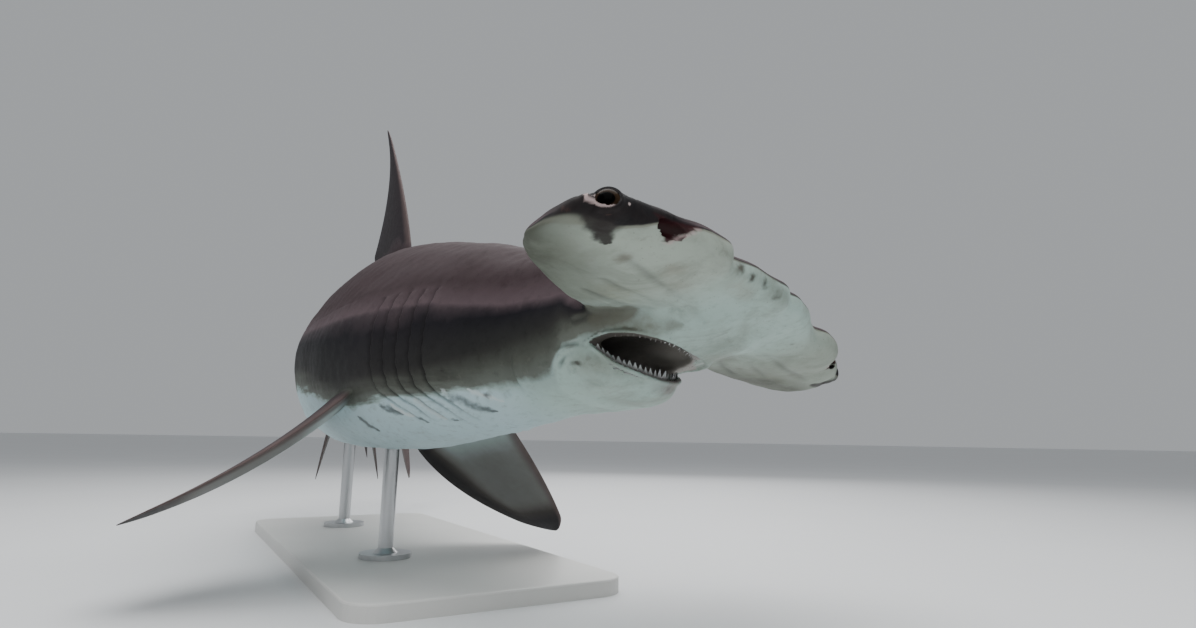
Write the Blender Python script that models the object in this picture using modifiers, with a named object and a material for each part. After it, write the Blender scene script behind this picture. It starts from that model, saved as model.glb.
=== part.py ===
# A great hammerhead shark, life size, caught in a turn and held by a plain
# display stand. Metres, +Z up. The origin is the centre of the stand's underside.
# A station is the distance behind the snout along the body's axis. At each
# station y points to the shark's left and z up from the axis.

from math import cos, pi, radians, sin

import bmesh
import bpy
import numpy as np
from mathutils import Matrix, Vector

# Clearance between pieces that touch
GAP = 0.0003

# The turn: the body is level at one station, the head swings to the shark's
# left and rolls a little, and the tail swings to the same side
AXIS_HEIGHT = 0.48
LEVEL_STATION = 1.00
LEVEL_PLACE = (0.20, -0.09)
HEAD_STATION = 0.55
TAIL_STATION = 2.60
HEAD_YAW = radians(23.7)
HEAD_ROLL = radians(-8.7)
TAIL_YAW = radians(-36.8)
AXIS_STEP = 0.01
AXIS_END = 3.40

# Body sections: station, half width, height above the axis, depth below it
BODY_SECTIONS = (
    (0.055, 0.095, 0.020, 0.020),
    (0.110, 0.120, 0.042, 0.040),
    (0.180, 0.128, 0.062, 0.062),
    (0.250, 0.132, 0.082, 0.086),
    (0.320, 0.136, 0.100, 0.122),
    (0.440, 0.141, 0.130, 0.158),
    (0.600, 0.160, 0.175, 0.190),
    (0.750, 0.178, 0.208, 0.212),
    (0.950, 0.188, 0.227, 0.219),
    (1.200, 0.184, 0.225, 0.214),
    (1.450, 0.157, 0.200, 0.193),
    (1.700, 0.128, 0.162, 0.155),
    (1.950, 0.095, 0.118, 0.108),
    (2.150, 0.064, 0.083, 0.075),
    (2.360, 0.042, 0.056, 0.050),
)
# How square a section is: 2 is an ellipse, less is a ridge, more is a box
HEAD_POWER = 3.0
BELLY_POWER = 2.35
BACK_POWER = 1.55
BACK_START = 0.35
BODY_POINTS = 40

# Where the body is parted into its lengths
NECK_STATION = 0.44
SHOULDER_STATION = 0.74
BELLY_STATION = 1.30
VENT_STATION = 1.90
STALK_STATION = 2.36
RING_SPACING = 0.055
HEAD_SPACING = 0.034
MOUTH_SPACING = 0.022

# Gill slits: five on each side, each under the raised rear edge of its flap
GILL_STATIONS = (0.600, 0.628, 0.656, 0.684, 0.712)
GILL_MIDDLE = radians(-13.0)
GILL_REACH = radians(27.0)
GILL_BOW = 0.012
FLAP_LIFT = 0.006
SLIT_DEPTH = 0.006
FLAP_EDGE = -0.003
SLIT_BOTTOM = 0.001
SLIT_END = 0.012

# Hammer: distance from the middle, front edge, rear edge, half thickness. The
# front edge has a shallow notch in the middle and one inside each nostril.
HAMMER_SECTIONS = (
    (0.000, 0.026, 0.289, 0.036),
    (0.020, 0.019, 0.290, 0.035),
    (0.050, 0.019, 0.291, 0.034),
    (0.100, 0.026, 0.289, 0.032),
    (0.140, 0.038, 0.285, 0.032),
    (0.165, 0.041, 0.282, 0.033),
    (0.185, 0.029, 0.279, 0.034),
    (0.215, 0.027, 0.272, 0.034),
    (0.250, 0.034, 0.264, 0.033),
    (0.290, 0.051, 0.250, 0.032),
    (0.325, 0.057, 0.235, 0.030),
    (0.355, 0.063, 0.219, 0.027),
    (0.380, 0.078, 0.200, 0.024),
    (0.397, 0.088, 0.175, 0.016),
    (0.405, 0.097, 0.141, 0.009),
)
HAMMER_POINTS = 22
HAMMER_RISE = 0.008
HAMMER_DROOP = 0.015
HAMMER_REAR_DROP = 0.022
HAMMER_REAR_THIN = 0.30

# Mouth: the gape's outline seen from the side, as station and height
MOUTH_CORNER = (0.290, -0.073)
UPPER_LIP = ((0.176, -0.058), (0.215, -0.057), (0.253, -0.059), (0.275, -0.065))
LOWER_LIP = ((0.268, -0.079), (0.235, -0.089), (0.200, -0.098))
GAPE_FRONT = (0.176, -0.106)
JAW_FRONT = 0.218
JAW_REACH = 0.105
JAW_HALF_WIDTH = 0.126
JAW_POWER = 2.0
JAW_MIDDLE = -0.085
JAW_RISE = 0.035
MOUTH_POWER = 2.6
MOUTH_POINTS = 26
# Jaw and throat: station, depth of its underside below the axis
JAW_UNDERSIDE = ((0.220, 0.099), (0.226, 0.112), (0.245, 0.121), (0.275, 0.129),
                 (0.340, 0.140), (0.400, 0.145), (0.425, 0.145))
JAW_PARTING = ((0.330, -0.081), (0.372, -0.106), (0.398, -0.185))
PALATE_FRONT = 0.200
PALATE_TOP = -0.012
PALATE_BOTTOM = -0.078
FLOOR_FRONT = 0.242
FLOOR_TOP = -0.060
FLOOR_BOTTOM = -0.116
CUT_HALF_WIDTH = 0.20
CAVITY_HALF_WIDTH = 0.100
CAVITY_END = 0.380
CAVITY_TAPER = 0.55
# Lips, drawn along the jaws' edges: front, rear end, half width, how square
LIP_RADIUS = 0.0045
LIP_POINTS = 24
UPPER_LIP_LINE = (0.178, 0.290, 0.123, 3.2)
LOWER_LIP_LINE = (0.222, 0.290, 0.118, 2.1)

# Teeth: each line is its front, its rear end, its half width and how square it is
TEETH_A_SIDE = 15
TOOTH_HEIGHT = 0.013
TOOTH_WIDTH = 0.0115
TOOTH_THICKNESS = 0.006
TOOTH_ROOT = 0.004
TOOTH_LEAN = radians(12.0)
TOOTH_FADE = 0.45
TOOTH_TURN = 0.12
TOOTH_SEED = 5
TEETH_REACH = radians(72.0)
UPPER_TEETH = (0.188, 0.290, 0.112, 2.6)
LOWER_TEETH = (0.231, 0.298, 0.110, 2.1)

# Eyes and nostrils
EYE_PLACE = (0.090, 0.380, -0.009)
EYE_RADIUS = 0.018
EYE_FORWARD = radians(25.0)
ORBIT_RADIUS = 0.0215
ORBIT_INSET = 0.006
LID_RADIUS = 0.003
LID_REACH = 0.0155
NOSTRIL_PLACE = (0.054, 0.284, -0.001)
NOSTRIL_SIZE = (0.009, 0.030, 0.015)
NOSTRIL_TURN = radians(30.0)

# Fins: height, base length, setback of the tip's leading edge, setback of the
# free rear tip, hollow of the trailing edge (less than nothing bulges it), width
# near the tip, half thickness, how late the leading edge sweeps back
FIRST_DORSAL = {"height": 0.405, "base": 0.256, "sweep": 0.285, "rear": 0.335,
                "hollow": 0.085, "tip": 0.035, "thickness": 0.016, "bow": 1.25}
SECOND_DORSAL = {"height": 0.180, "base": 0.140, "sweep": 0.130, "rear": 0.225,
                 "hollow": 0.040, "tip": 0.020, "thickness": 0.008, "bow": 1.25}
ANAL = {"height": 0.170, "base": 0.180, "sweep": 0.150, "rear": 0.235,
        "hollow": 0.045, "tip": 0.020, "thickness": 0.008, "bow": 1.25}
PELVIC = {"height": 0.178, "base": 0.150, "sweep": 0.160, "rear": 0.200,
          "hollow": 0.035, "tip": 0.022, "thickness": 0.009, "bow": 1.25}
PECTORAL = {"height": 0.388, "base": 0.240, "sweep": 0.088, "rear": 0.318,
            "hollow": -0.045, "tip": 0.110, "thickness": 0.018, "bow": 2.2}
FIN_LEVELS = (0.0, 0.06, 0.14, 0.25, 0.38, 0.52, 0.66, 0.79, 0.89, 0.96, 1.0)
FIN_ROOT = 0.045
FIN_LOBE = 0.14
FIN_TIP = 0.86
FIN_POINTS = 12
FIN_EDGE = 0.12
FIN_THINNING = 0.8
FIN_REAR_THIN = 0.5
TIP_SETBACK = 0.6
EDGE_HALF = 0.0008
# Each fin's shape, the station it is fixed at, its root's front forward, left and
# up of the axis there, how far it leans from upright to the shark's left, how far
# it is turned about its own length, and how far its tip is bent up
FINS = {
    "dorsal_fin_first": (FIRST_DORSAL, 1.05, (0.114, 0.0, 0.226), 0.0, 0.0, 0.0),
    "dorsal_fin_second": (SECOND_DORSAL, 2.07, (0.070, 0.0, 0.098), 0.0, 0.0, 0.0),
    "anal_fin": (ANAL, 2.03, (0.095, 0.0, -0.100), 180.0, 0.0, 0.0),
    "pectoral_fin_left": (PECTORAL, 0.80, (0.030, 0.165, -0.119), 134.7, 15.0, 0.040),
    "pectoral_fin_right": (PECTORAL, 0.80, (0.030, -0.165, -0.126), -136.0, -13.5, -0.075),
    "pelvic_fin_left": (PELVIC, 1.62, (0.070, 0.055, -0.152), 168.0, 0.0, 0.0),
    "pelvic_fin_right": (PELVIC, 1.62, (0.070, -0.055, -0.152), -168.0, 0.0, 0.0),
}

# Tail lobes: leading and trailing point as distance behind the stalk and height,
# half thickness, and how much thinner the trailing side is
UPPER_LOBE = (
    ((0.000, 0.056), (0.000, -0.050), 0.0420, 0.0),
    ((0.075, 0.084), (0.100, -0.055), 0.0330, 0.2),
    ((0.170, 0.132), (0.240, -0.012), 0.0240, 0.5),
    ((0.290, 0.198), (0.370, 0.078), 0.0180, 0.6),
    ((0.420, 0.276), (0.485, 0.172), 0.0140, 0.6),
    ((0.540, 0.354), (0.590, 0.266), 0.0110, 0.6),
    ((0.640, 0.420), (0.680, 0.348), 0.0080, 0.6),
    ((0.700, 0.458), (0.722, 0.414), 0.0060, 0.6),
    ((0.740, 0.483), (0.795, 0.424), 0.0050, 0.6),
    ((0.795, 0.520), (0.835, 0.494), 0.0030, 0.6),
    ((0.828, 0.543), (0.838, 0.537), 0.0012, 0.6),
)
LOWER_LOBE = (
    ((0.030, 0.000), (0.190, 0.020), 0.0240, 0.4),
    ((0.045, -0.062), (0.215, -0.045), 0.0190, 0.5),
    ((0.080, -0.135), (0.205, -0.105), 0.0140, 0.5),
    ((0.125, -0.210), (0.215, -0.178), 0.0100, 0.5),
    ((0.172, -0.280), (0.235, -0.254), 0.0065, 0.5),
    ((0.218, -0.336), (0.258, -0.322), 0.0040, 0.5),
    ((0.250, -0.370), (0.264, -0.366), 0.0015, 0.5),
)
TAIL_POINTS = 16

# Stand
BASE_SIZE = (1.30, 0.52, 0.030)
BASE_CORNER = 0.060
BASE_EDGE = 0.004
ROD_RADIUS = 0.016
ROD_SINK = 0.05
ROD_SIDES = 32
FLANGE_RADIUS = 0.055
FLANGE_HEIGHT = 0.010
ROD_STATIONS = {"stand_rod_front": 0.98, "stand_rod_rear": 1.58}

# Colours, roughness and metallic value of each kind of piece
BACK_BROWN = ((0.20, 0.17, 0.15), 0.50, 0.0)
FLANK_GREY = ((0.24, 0.22, 0.20), 0.50, 0.0)
HEAD_PALE = ((0.46, 0.46, 0.41), 0.50, 0.0)
FIN_BROWN = ((0.22, 0.17, 0.14), 0.55, 0.0)
EYE_DARK = ((0.02, 0.02, 0.02), 0.08, 0.0)
BASE_PAINT = ((0.70, 0.69, 0.66), 0.45, 0.0)
ROD_STEEL = ((0.55, 0.56, 0.57), 0.30, 1.0)


def clear_scene():
    for item in list(bpy.data.objects):
        bpy.data.objects.remove(item, do_unlink=True)


def new_collection(name):
    group = bpy.data.collections.new(name)
    bpy.context.scene.collection.children.link(group)
    return group


clear_scene()
PARTS = new_collection("hammerhead_shark")
TOOLS = new_collection("cutters")


# Spine

def ease(value):
    value = min(max(value, 0.0), 1.0)
    return value * value * (3.0 - 2.0 * value)


def turn_at(station):
    front = ease((LEVEL_STATION - station) / (LEVEL_STATION - HEAD_STATION))
    rear = ease((station - LEVEL_STATION) / (TAIL_STATION - LEVEL_STATION))
    return HEAD_YAW * front + TAIL_YAW * rear, HEAD_ROLL * front


def axis_points():
    stations = np.arange(0.0, AXIS_END, AXIS_STEP)
    yaws = np.array([turn_at(s + AXIS_STEP / 2)[0] for s in stations])
    moves = -AXIS_STEP * np.stack([np.cos(yaws), np.sin(yaws), 0.0 * yaws], axis=1)
    points = np.vstack([np.zeros((1, 3)), np.cumsum(moves, axis=0)[:-1]])
    level = int(round(LEVEL_STATION / AXIS_STEP))
    return stations, points - points[level] + np.array([*LEVEL_PLACE, AXIS_HEIGHT])


AXIS_STATIONS, AXIS_POINTS = axis_points()


def frame_at(station):
    yaw, roll = turn_at(station)
    place = [np.interp(station, AXIS_STATIONS, AXIS_POINTS[:, i]) for i in range(3)]
    turn = Matrix.Rotation(yaw, 4, 'Z') @ Matrix.Rotation(roll, 4, 'X')
    return Matrix.Translation(place) @ turn


def place(station, y, z):
    return frame_at(station) @ Vector((0.0, y, z))


# Meshes and solids

def add_object(name, mesh, group=PARTS):
    item = bpy.data.objects.new(name, mesh)
    group.objects.link(item)
    if group is TOOLS:
        item.hide_render = True
        item.display_type = 'WIRE'
    return item


def loft(name, rings, group=PARTS, mirrored=False):
    work = bmesh.new()
    rows = [[work.verts.new(point) for point in ring] for ring in rings]
    count = len(rings[0])
    for near, far in zip(rows, rows[1:]):
        for j in range(count):
            k = (j + 1) % count
            if mirrored and j >= count // 2:
                work.faces.new((near[j], near[k], far[j]))
                work.faces.new((near[k], far[k], far[j]))
            else:
                work.faces.new((near[j], near[k], far[k]))
                work.faces.new((near[j], far[k], far[j]))
    work.faces.new(rows[0])
    work.faces.new(rows[-1])
    bmesh.ops.recalc_face_normals(work, faces=work.faces)
    mesh = bpy.data.meshes.new(name)
    work.to_mesh(mesh)
    work.free()
    return add_object(name, mesh, group)


def prism(name, outline, half_width):
    # An outline of stations and heights in the head's frame, pushed out sideways
    rings = [[place(s, y, z) for s, z in outline] for y in (-half_width, half_width)]
    return loft(name, rings, TOOLS)


def primitive(name, build, transform, group=TOOLS):
    work = bmesh.new()
    build(work)
    bmesh.ops.transform(work, matrix=transform, verts=work.verts)
    bmesh.ops.recalc_face_normals(work, faces=work.faces)
    mesh = bpy.data.meshes.new(name)
    work.to_mesh(mesh)
    work.free()
    return add_object(name, mesh, group)


def ball(name, transform, group=TOOLS, around=16, along=10):
    def build(work):
        bmesh.ops.create_uvsphere(work, u_segments=around, v_segments=along, radius=1.0)
    return primitive(name, build, transform, group)


def combine(target, others, operation, solver='EXACT'):
    tools = bpy.data.collections.new("combined")
    for item in others:
        tools.objects.link(item)
    step = target.modifiers.new("Combine", 'BOOLEAN')
    step.operand_type = 'COLLECTION'
    step.collection = tools
    step.operation = operation
    step.solver = solver
    graph = bpy.context.evaluated_depsgraph_get()
    mesh = bpy.data.meshes.new_from_object(target.evaluated_get(graph))
    target.modifiers.clear()
    target.data = mesh
    for item in others:
        bpy.data.objects.remove(item, do_unlink=True)
    bpy.data.collections.remove(tools)


def surfaces(mesh):
    # The mesh's separate closed surfaces as sets of faces, the largest first
    groups = []
    unseen = set(mesh.faces)
    while unseen:
        front = [unseen.pop()]
        group = set(front)
        while front:
            face = front.pop()
            for edge in face.edges:
                for other in edge.link_faces:
                    if other in unseen:
                        unseen.discard(other)
                        group.add(other)
                        front.append(other)
        groups.append(group)
    return sorted(groups, key=len, reverse=True)


def keep_surface(item, rank=0):
    work = bmesh.new()
    work.from_mesh(item.data)
    bmesh.ops.dissolve_degenerate(work, dist=0.00001, edges=work.edges)
    groups = surfaces(work)
    unwanted = [face for i, group in enumerate(groups) if i != rank for face in group]
    if unwanted:
        bmesh.ops.delete(work, geom=unwanted, context='FACES')
    work.to_mesh(item.data)
    work.free()


def finish(item, look):
    colour, roughness, metallic = look
    material = bpy.data.materials.new(item.name)
    material.use_nodes = True
    shader = material.node_tree.nodes["Principled BSDF"]
    shader.inputs["Base Color"].default_value = (*colour, 1.0)
    shader.inputs["Roughness"].default_value = roughness
    shader.inputs["Metallic"].default_value = metallic
    item.data.materials.clear()
    item.data.materials.append(material)
    item.data.shade_smooth()
    item.data.set_sharp_from_angle(angle=radians(35.0))


# Body sections

def smooth_rows(rows, station):
    # A smooth curve through the rows' points, one column for each size
    table = np.array(rows)
    knots = table[:, 0]
    slopes = np.gradient(table[:, 1:], knots, axis=0)
    i = int(np.clip(np.searchsorted(knots, station) - 1, 0, len(knots) - 2))
    span = knots[i + 1] - knots[i]
    t = min(max((station - knots[i]) / span, 0.0), 1.0)
    low, high = table[i, 1:], table[i + 1, 1:]
    return ((2 * t**3 - 3 * t**2 + 1) * low + (t**3 - 2 * t**2 + t) * span * slopes[i]
            + (3 * t**2 - 2 * t**3) * high + (t**3 - t**2) * span * slopes[i + 1])


def rounded(angle, half_width, top, bottom, power):
    across, up = cos(angle), sin(angle)
    y = half_width * np.sign(across) * abs(across) ** (2.0 / power)
    z = (top if up > 0.0 else bottom) * np.sign(up) * abs(up) ** (2.0 / power)
    return Vector((0.0, y, z))


def body_power(station, above):
    # Boxy at the mouth, then a rounder belly and a back that narrows to a ridge
    neck = ease((station - MOUTH_CORNER[0]) / (NECK_STATION - MOUTH_CORNER[0]))
    power = HEAD_POWER + (BELLY_POWER - HEAD_POWER) * neck
    if above:
        power += (BACK_POWER - BELLY_POWER) * ease((station - NECK_STATION) / BACK_START)
    return power


def body_point(station, angle, lift):
    half_width, top, bottom = smooth_rows(BODY_SECTIONS, station)
    above = sin(angle) > 0.0
    point = rounded(angle, half_width, top, bottom, body_power(station, above))
    height = top if point.z > 0.0 else bottom
    outward = Vector((0.0, point.y / half_width**2, point.z / height**2)).normalized()
    return frame_at(station) @ (point + outward * lift)


def gill_shape(angle):
    # How far along a slit an angle is, from 0 at its middle to 1 at its ends
    side = angle if cos(angle) > 0.0 else pi - angle
    side = (side + pi) % (2 * pi) - pi
    reach = min(abs(side - GILL_MIDDLE) / GILL_REACH, 1.0)
    return (1.0 - reach**2) ** 0.5, -GILL_BOW * reach**2


def body_ring(station, lift=0.0, curved=False, grow=0.0):
    ring = []
    for j in range(BODY_POINTS):
        angle = 2 * pi * j / BODY_POINTS
        strength, bow = gill_shape(angle)
        ring.append(body_point(station + (bow if curved else 0.0), angle, grow + lift * strength))
    return ring


def even_stations(start, end, spacing=RING_SPACING):
    count = max(int(round((end - start) / spacing)), 1)
    return [start + (end - start) * i / count for i in range(count + 1)]


def gill_rings():
    start = NECK_STATION + GAP
    rows = [(s, 0.0, s > start) for s in even_stations(start, GILL_STATIONS[0] - HEAD_SPACING)]
    for station in GILL_STATIONS:
        rows.append((station + FLAP_EDGE, FLAP_LIFT, True))
        rows.append((station + SLIT_BOTTOM, -SLIT_DEPTH, True))
        rows.append((station + SLIT_END, 0.0, True))
    rows.append((SHOULDER_STATION, 0.0, False))
    return rows


def plain_rings(start, end):
    return [(station, 0.0, False) for station in even_stations(start, end)]


BODY_LENGTHS = {
    "gill_region": gill_rings(),
    "trunk_front": plain_rings(SHOULDER_STATION + GAP, BELLY_STATION),
    "trunk_rear": plain_rings(BELLY_STATION + GAP, VENT_STATION),
    "tail_stalk": plain_rings(VENT_STATION + GAP, STALK_STATION - GAP),
}


def body_lengths():
    for name, rows in BODY_LENGTHS.items():
        item = loft(name, [body_ring(*row) for row in rows])
        finish(item, BACK_BROWN if name != "gill_region" else FLANK_GREY)


def grown_body():
    # The whole trunk a hair larger, which trims whatever grows from it
    rows = []
    for length in BODY_LENGTHS.values():
        rows.extend(length[1:] if rows else length)
    return loft("grown_body", [body_ring(*row, grow=GAP) for row in rows], TOOLS)


# Head

def hammer_ring(y):
    front, rear, thickness = smooth_rows(HAMMER_SECTIONS, abs(y))
    middle = HAMMER_RISE - HAMMER_DROOP * (y / HAMMER_SECTIONS[-1][0]) ** 2
    ring = []
    for j in range(HAMMER_POINTS):
        angle = 2 * pi * j / HAMMER_POINTS
        along = (1.0 - cos(angle)) / 2.0
        station = front + (rear - front) * along
        z = middle + thickness * sin(angle) * (1.0 - HAMMER_REAR_THIN * along) - HAMMER_REAR_DROP * along
        ring.append(place(station, y, z))
    return ring


def hammer():
    half = [row[0] for row in HAMMER_SECTIONS]
    sides = sorted({-y for y in half} | set(half))
    return loft("hammer", [hammer_ring(y) for y in sides], TOOLS)


def jaw_plan(station, front, reach, half_width, power):
    # Half width of a rounded front at a station behind it
    left = min(max((front + reach - station) / reach, 0.0), 1.0)
    return half_width * (1.0 - left**power) ** (1.0 / power)


def mouth_ring(station, half_width, middle, top, bottom):
    ring = []
    for j in range(MOUTH_POINTS):
        point = rounded(2 * pi * j / MOUTH_POINTS, half_width, top, bottom, MOUTH_POWER)
        ring.append(place(station, point.y, middle + point.z))
    return ring


def jaw_loft():
    rings = []
    for station, depth in JAW_UNDERSIDE:
        width = jaw_plan(station, JAW_FRONT, JAW_REACH, JAW_HALF_WIDTH, JAW_POWER)
        rings.append(mouth_ring(station, width, JAW_MIDDLE, JAW_RISE, depth + JAW_MIDDLE))
    return loft("jaw", rings, TOOLS)


def cavity(name, front, top, bottom):
    # A rounded hollow that narrows towards the throat
    rings = []
    for station in even_stations(front + 0.001, CAVITY_END, MOUTH_SPACING):
        throat = ease((station - MOUTH_CORNER[0]) / (CAVITY_END - MOUTH_CORNER[0]))
        fade = 1.0 - CAVITY_TAPER * throat
        width = jaw_plan(station, front, JAW_REACH, CAVITY_HALF_WIDTH, MOUTH_POWER) * fade
        half = (top - bottom) / 2 * fade
        rings.append(mouth_ring(station, width, (top + bottom) / 2, half, half))
    return loft(name, rings, TOOLS)


def head_solid():
    start = BODY_SECTIONS[0][0]
    rings = [body_ring(s) for s in even_stations(start, NECK_STATION, HEAD_SPACING)]
    head = loft("head", rings)
    combine(head, [hammer(), jaw_loft()], 'UNION')
    gape = prism("gape", [MOUTH_CORNER, *LOWER_LIP, GAPE_FRONT, *UPPER_LIP], CUT_HALF_WIDTH)
    palate = cavity("palate", PALATE_FRONT, PALATE_TOP, PALATE_BOTTOM)
    floor = cavity("floor", FLOOR_FRONT, FLOOR_TOP, FLOOR_BOTTOM)
    combine(head, [gape], 'DIFFERENCE')
    combine(head, [palate], 'DIFFERENCE')
    combine(head, [floor], 'DIFFERENCE')
    return head


def tube(name, points, sizes, radius):
    # A rod along points, each with its own size against the radius
    curve = bpy.data.curves.new(name, 'CURVE')
    curve.dimensions = '3D'
    curve.bevel_depth = radius
    curve.bevel_resolution = 1
    curve.use_fill_caps = True
    spline = curve.splines.new('POLY')
    spline.points.add(len(points) - 1)
    for knot, point, size in zip(spline.points, points, sizes):
        knot.co = (*point, 1.0)
        knot.radius = size
    made = add_object(name, curve, TOOLS)
    graph = bpy.context.evaluated_depsgraph_get()
    mesh = bpy.data.meshes.new_from_object(made.evaluated_get(graph))
    bpy.data.objects.remove(made, do_unlink=True)
    return add_object(name, mesh, TOOLS)


def lip(line, outline):
    # Full in the middle and thin at the mouth's corners
    points, sizes = [], []
    for i in range(LIP_POINTS + 1):
        half_angle = pi / 2 * (2 * i / LIP_POINTS - 1)
        station, y = rim_point(half_angle, *line)
        points.append(place(station, y, lip_height(outline, station)))
        sizes.append(max(abs(cos(half_angle)) ** 0.5, 0.2))
    return tube("lip", points, sizes, LIP_RADIUS)


def part_jaw(head):
    # A thin cut from the mouth's corners back and down frees the lower jaw
    near = (MOUTH_CORNER[0] - LIP_RADIUS, MOUTH_CORNER[1])
    line = [near, *JAW_PARTING]
    back = [(s + GAP, z + GAP) for s, z in reversed(line)]
    slot = prism("slot", line + back, CUT_HALF_WIDTH)
    combine(head, [slot], 'DIFFERENCE')
    jaw = add_object("jaw_lower", head.data.copy())
    keep_surface(head, 0)
    keep_surface(jaw, 1)
    return jaw


def rim_point(half_angle, front, end, half_width, power):
    # A point of a rounded jaw line seen from below, as station and y
    along, across = cos(half_angle), sin(half_angle)
    station = end - (end - front) * abs(along) ** (2.0 / power)
    return station, half_width * np.sign(across) * abs(across) ** (2.0 / power)


def lip_height(outline, station):
    # Height of the gape's upper or lower edge at a station
    line = sorted([*outline, MOUTH_CORNER])
    return float(np.interp(station, [p[0] for p in line], [p[1] for p in line]))


def tooth(station, y, z, inward, up, scale):
    # A four-sided point that leans inwards
    def build(work):
        bmesh.ops.create_cone(work, cap_ends=True, segments=4, radius1=0.5, radius2=0.02, depth=1.0)
    turn = Matrix.Rotation(inward, 4, 'Z') @ Matrix.Rotation(up * TOOTH_LEAN, 4, 'Y')
    if up < 0.0:
        turn = turn @ Matrix.Rotation(pi, 4, 'X')
    length = TOOTH_HEIGHT * scale + TOOTH_ROOT
    size = Matrix.Diagonal((TOOTH_THICKNESS, TOOTH_WIDTH * scale, length, 1.0))
    lift = Matrix.Translation((0.0, 0.0, length / 2 - TOOTH_ROOT))
    spot = frame_at(station) @ Matrix.Translation((0.0, y, z))
    return primitive("tooth", build, spot @ turn @ lift @ size)


def teeth(line, outline, up):
    # Smaller towards the mouth's corners
    pieces = []
    draw = np.random.default_rng(TOOTH_SEED)
    count = 2 * TEETH_A_SIDE
    for i in range(count):
        share = 2 * (i + 0.5) / count - 1
        station, y = rim_point(TEETH_REACH * share, *line)
        z = lip_height(outline, station)
        inward = pi + TEETH_REACH * share + draw.uniform(-TOOTH_TURN, TOOTH_TURN)
        scale = 1.0 - TOOTH_FADE * abs(share)
        pieces.append(tooth(station, y, z, inward, up, scale))
    return pieces


def torus(name, major, minor, transform):
    bpy.ops.mesh.primitive_torus_add(
        major_segments=18, minor_segments=8, major_radius=major, minor_radius=minor)
    made = bpy.context.object
    mesh = made.data
    bpy.data.objects.remove(made, do_unlink=True)
    mesh.transform(transform)
    return add_object(name, mesh, TOOLS)


def eye_matrix(side):
    station, out, up = EYE_PLACE
    look = Matrix.Rotation(side * (pi / 2 - EYE_FORWARD), 4, 'Z') @ Matrix.Rotation(pi / 2, 4, 'Y')
    return frame_at(station) @ Matrix.Translation((0.0, side * out, up)) @ look


def eyes(head):
    # Each eyeball sits in the hammer's swollen end behind a thin round lid
    for name, side in (("eye_left", 1), ("eye_right", -1)):
        spot = eye_matrix(side)
        swelling = spot @ Matrix.Translation((0.0, 0.0, -ORBIT_INSET)) @ Matrix.Scale(ORBIT_RADIUS, 4)
        lid_out = (EYE_RADIUS**2 - LID_REACH**2) ** 0.5
        lid = torus("lid", LID_REACH, LID_RADIUS, spot @ Matrix.Translation((0.0, 0.0, lid_out)))
        combine(head, [ball("orbit", swelling, TOOLS, 20, 12), lid], 'UNION')
        socket = ball("socket", spot @ Matrix.Scale(EYE_RADIUS + GAP, 4), TOOLS, 20, 12)
        combine(head, [socket], 'DIFFERENCE')
        finish(ball(name, spot @ Matrix.Scale(EYE_RADIUS, 4), PARTS, 20, 12), EYE_DARK)


def nostrils(head):
    station, out, up = NOSTRIL_PLACE
    for side in (1, -1):
        spot = frame_at(station) @ Matrix.Translation((0.0, side * out, up))
        turn = Matrix.Rotation(side * NOSTRIL_TURN, 4, 'Z')
        slot = ball("nostril", spot @ turn @ Matrix.Diagonal((*NOSTRIL_SIZE, 1.0)), TOOLS, 12, 8)
        combine(head, [slot], 'DIFFERENCE')


def head_nodes():
    head = head_solid()
    combine(head, [lip(UPPER_LIP_LINE, UPPER_LIP), lip(LOWER_LIP_LINE, LOWER_LIP)], 'UNION')
    eyes(head)
    nostrils(head)
    jaw = part_jaw(head)
    combine(head, teeth(UPPER_TEETH, UPPER_LIP, -1.0), 'UNION')
    combine(jaw, teeth(LOWER_TEETH, LOWER_LIP, 1.0), 'UNION')
    for item in (head, jaw):
        keep_surface(item)
        finish(item, HEAD_PALE)


# Fins

def fin_rows(shape):
    # Leading and trailing point and half thickness at levels from root to tip
    rows = [((0.0, -FIN_ROOT), (shape["base"], -FIN_ROOT), shape["thickness"])]
    for level in FIN_LEVELS:
        lead = shape["sweep"] * level ** shape["bow"]
        inner = min(level / FIN_LOBE, 1.0)
        trail = shape["base"] + (shape["rear"] - shape["base"]) * sin(inner * pi / 2)
        outer = max((level - FIN_LOBE) / (1.0 - FIN_LOBE), 0.0)
        end = shape["sweep"] + shape["tip"] * TIP_SETBACK
        trail += (end - trail) * outer - 4 * shape["hollow"] * outer * (1.0 - outer)
        taper = max((level - FIN_TIP) / (1.0 - FIN_TIP), 0.0)
        half = (trail - lead) / 2 * max((1.0 - taper**2) ** 0.5, FIN_EDGE)
        middle = (lead + trail) / 2
        height = level * shape["height"]
        thickness = shape["thickness"] * (1.0 - level) ** FIN_THINNING + EDGE_HALF
        rows.append(((middle - half, height), (middle + half, height), thickness))
    return rows


def blade_ring(lead, trail, thickness, count, sharpness):
    # A section of a fin: distance back, distance out, and side offset
    ring = []
    for j in range(count):
        angle = 2 * pi * j / count
        along = (1.0 - cos(angle)) / 2.0
        back = lead[0] + (trail[0] - lead[0]) * along
        out = lead[1] + (trail[1] - lead[1]) * along
        ring.append((back, out, thickness * sin(angle) * (1.0 - sharpness * along)))
    return ring


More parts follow.
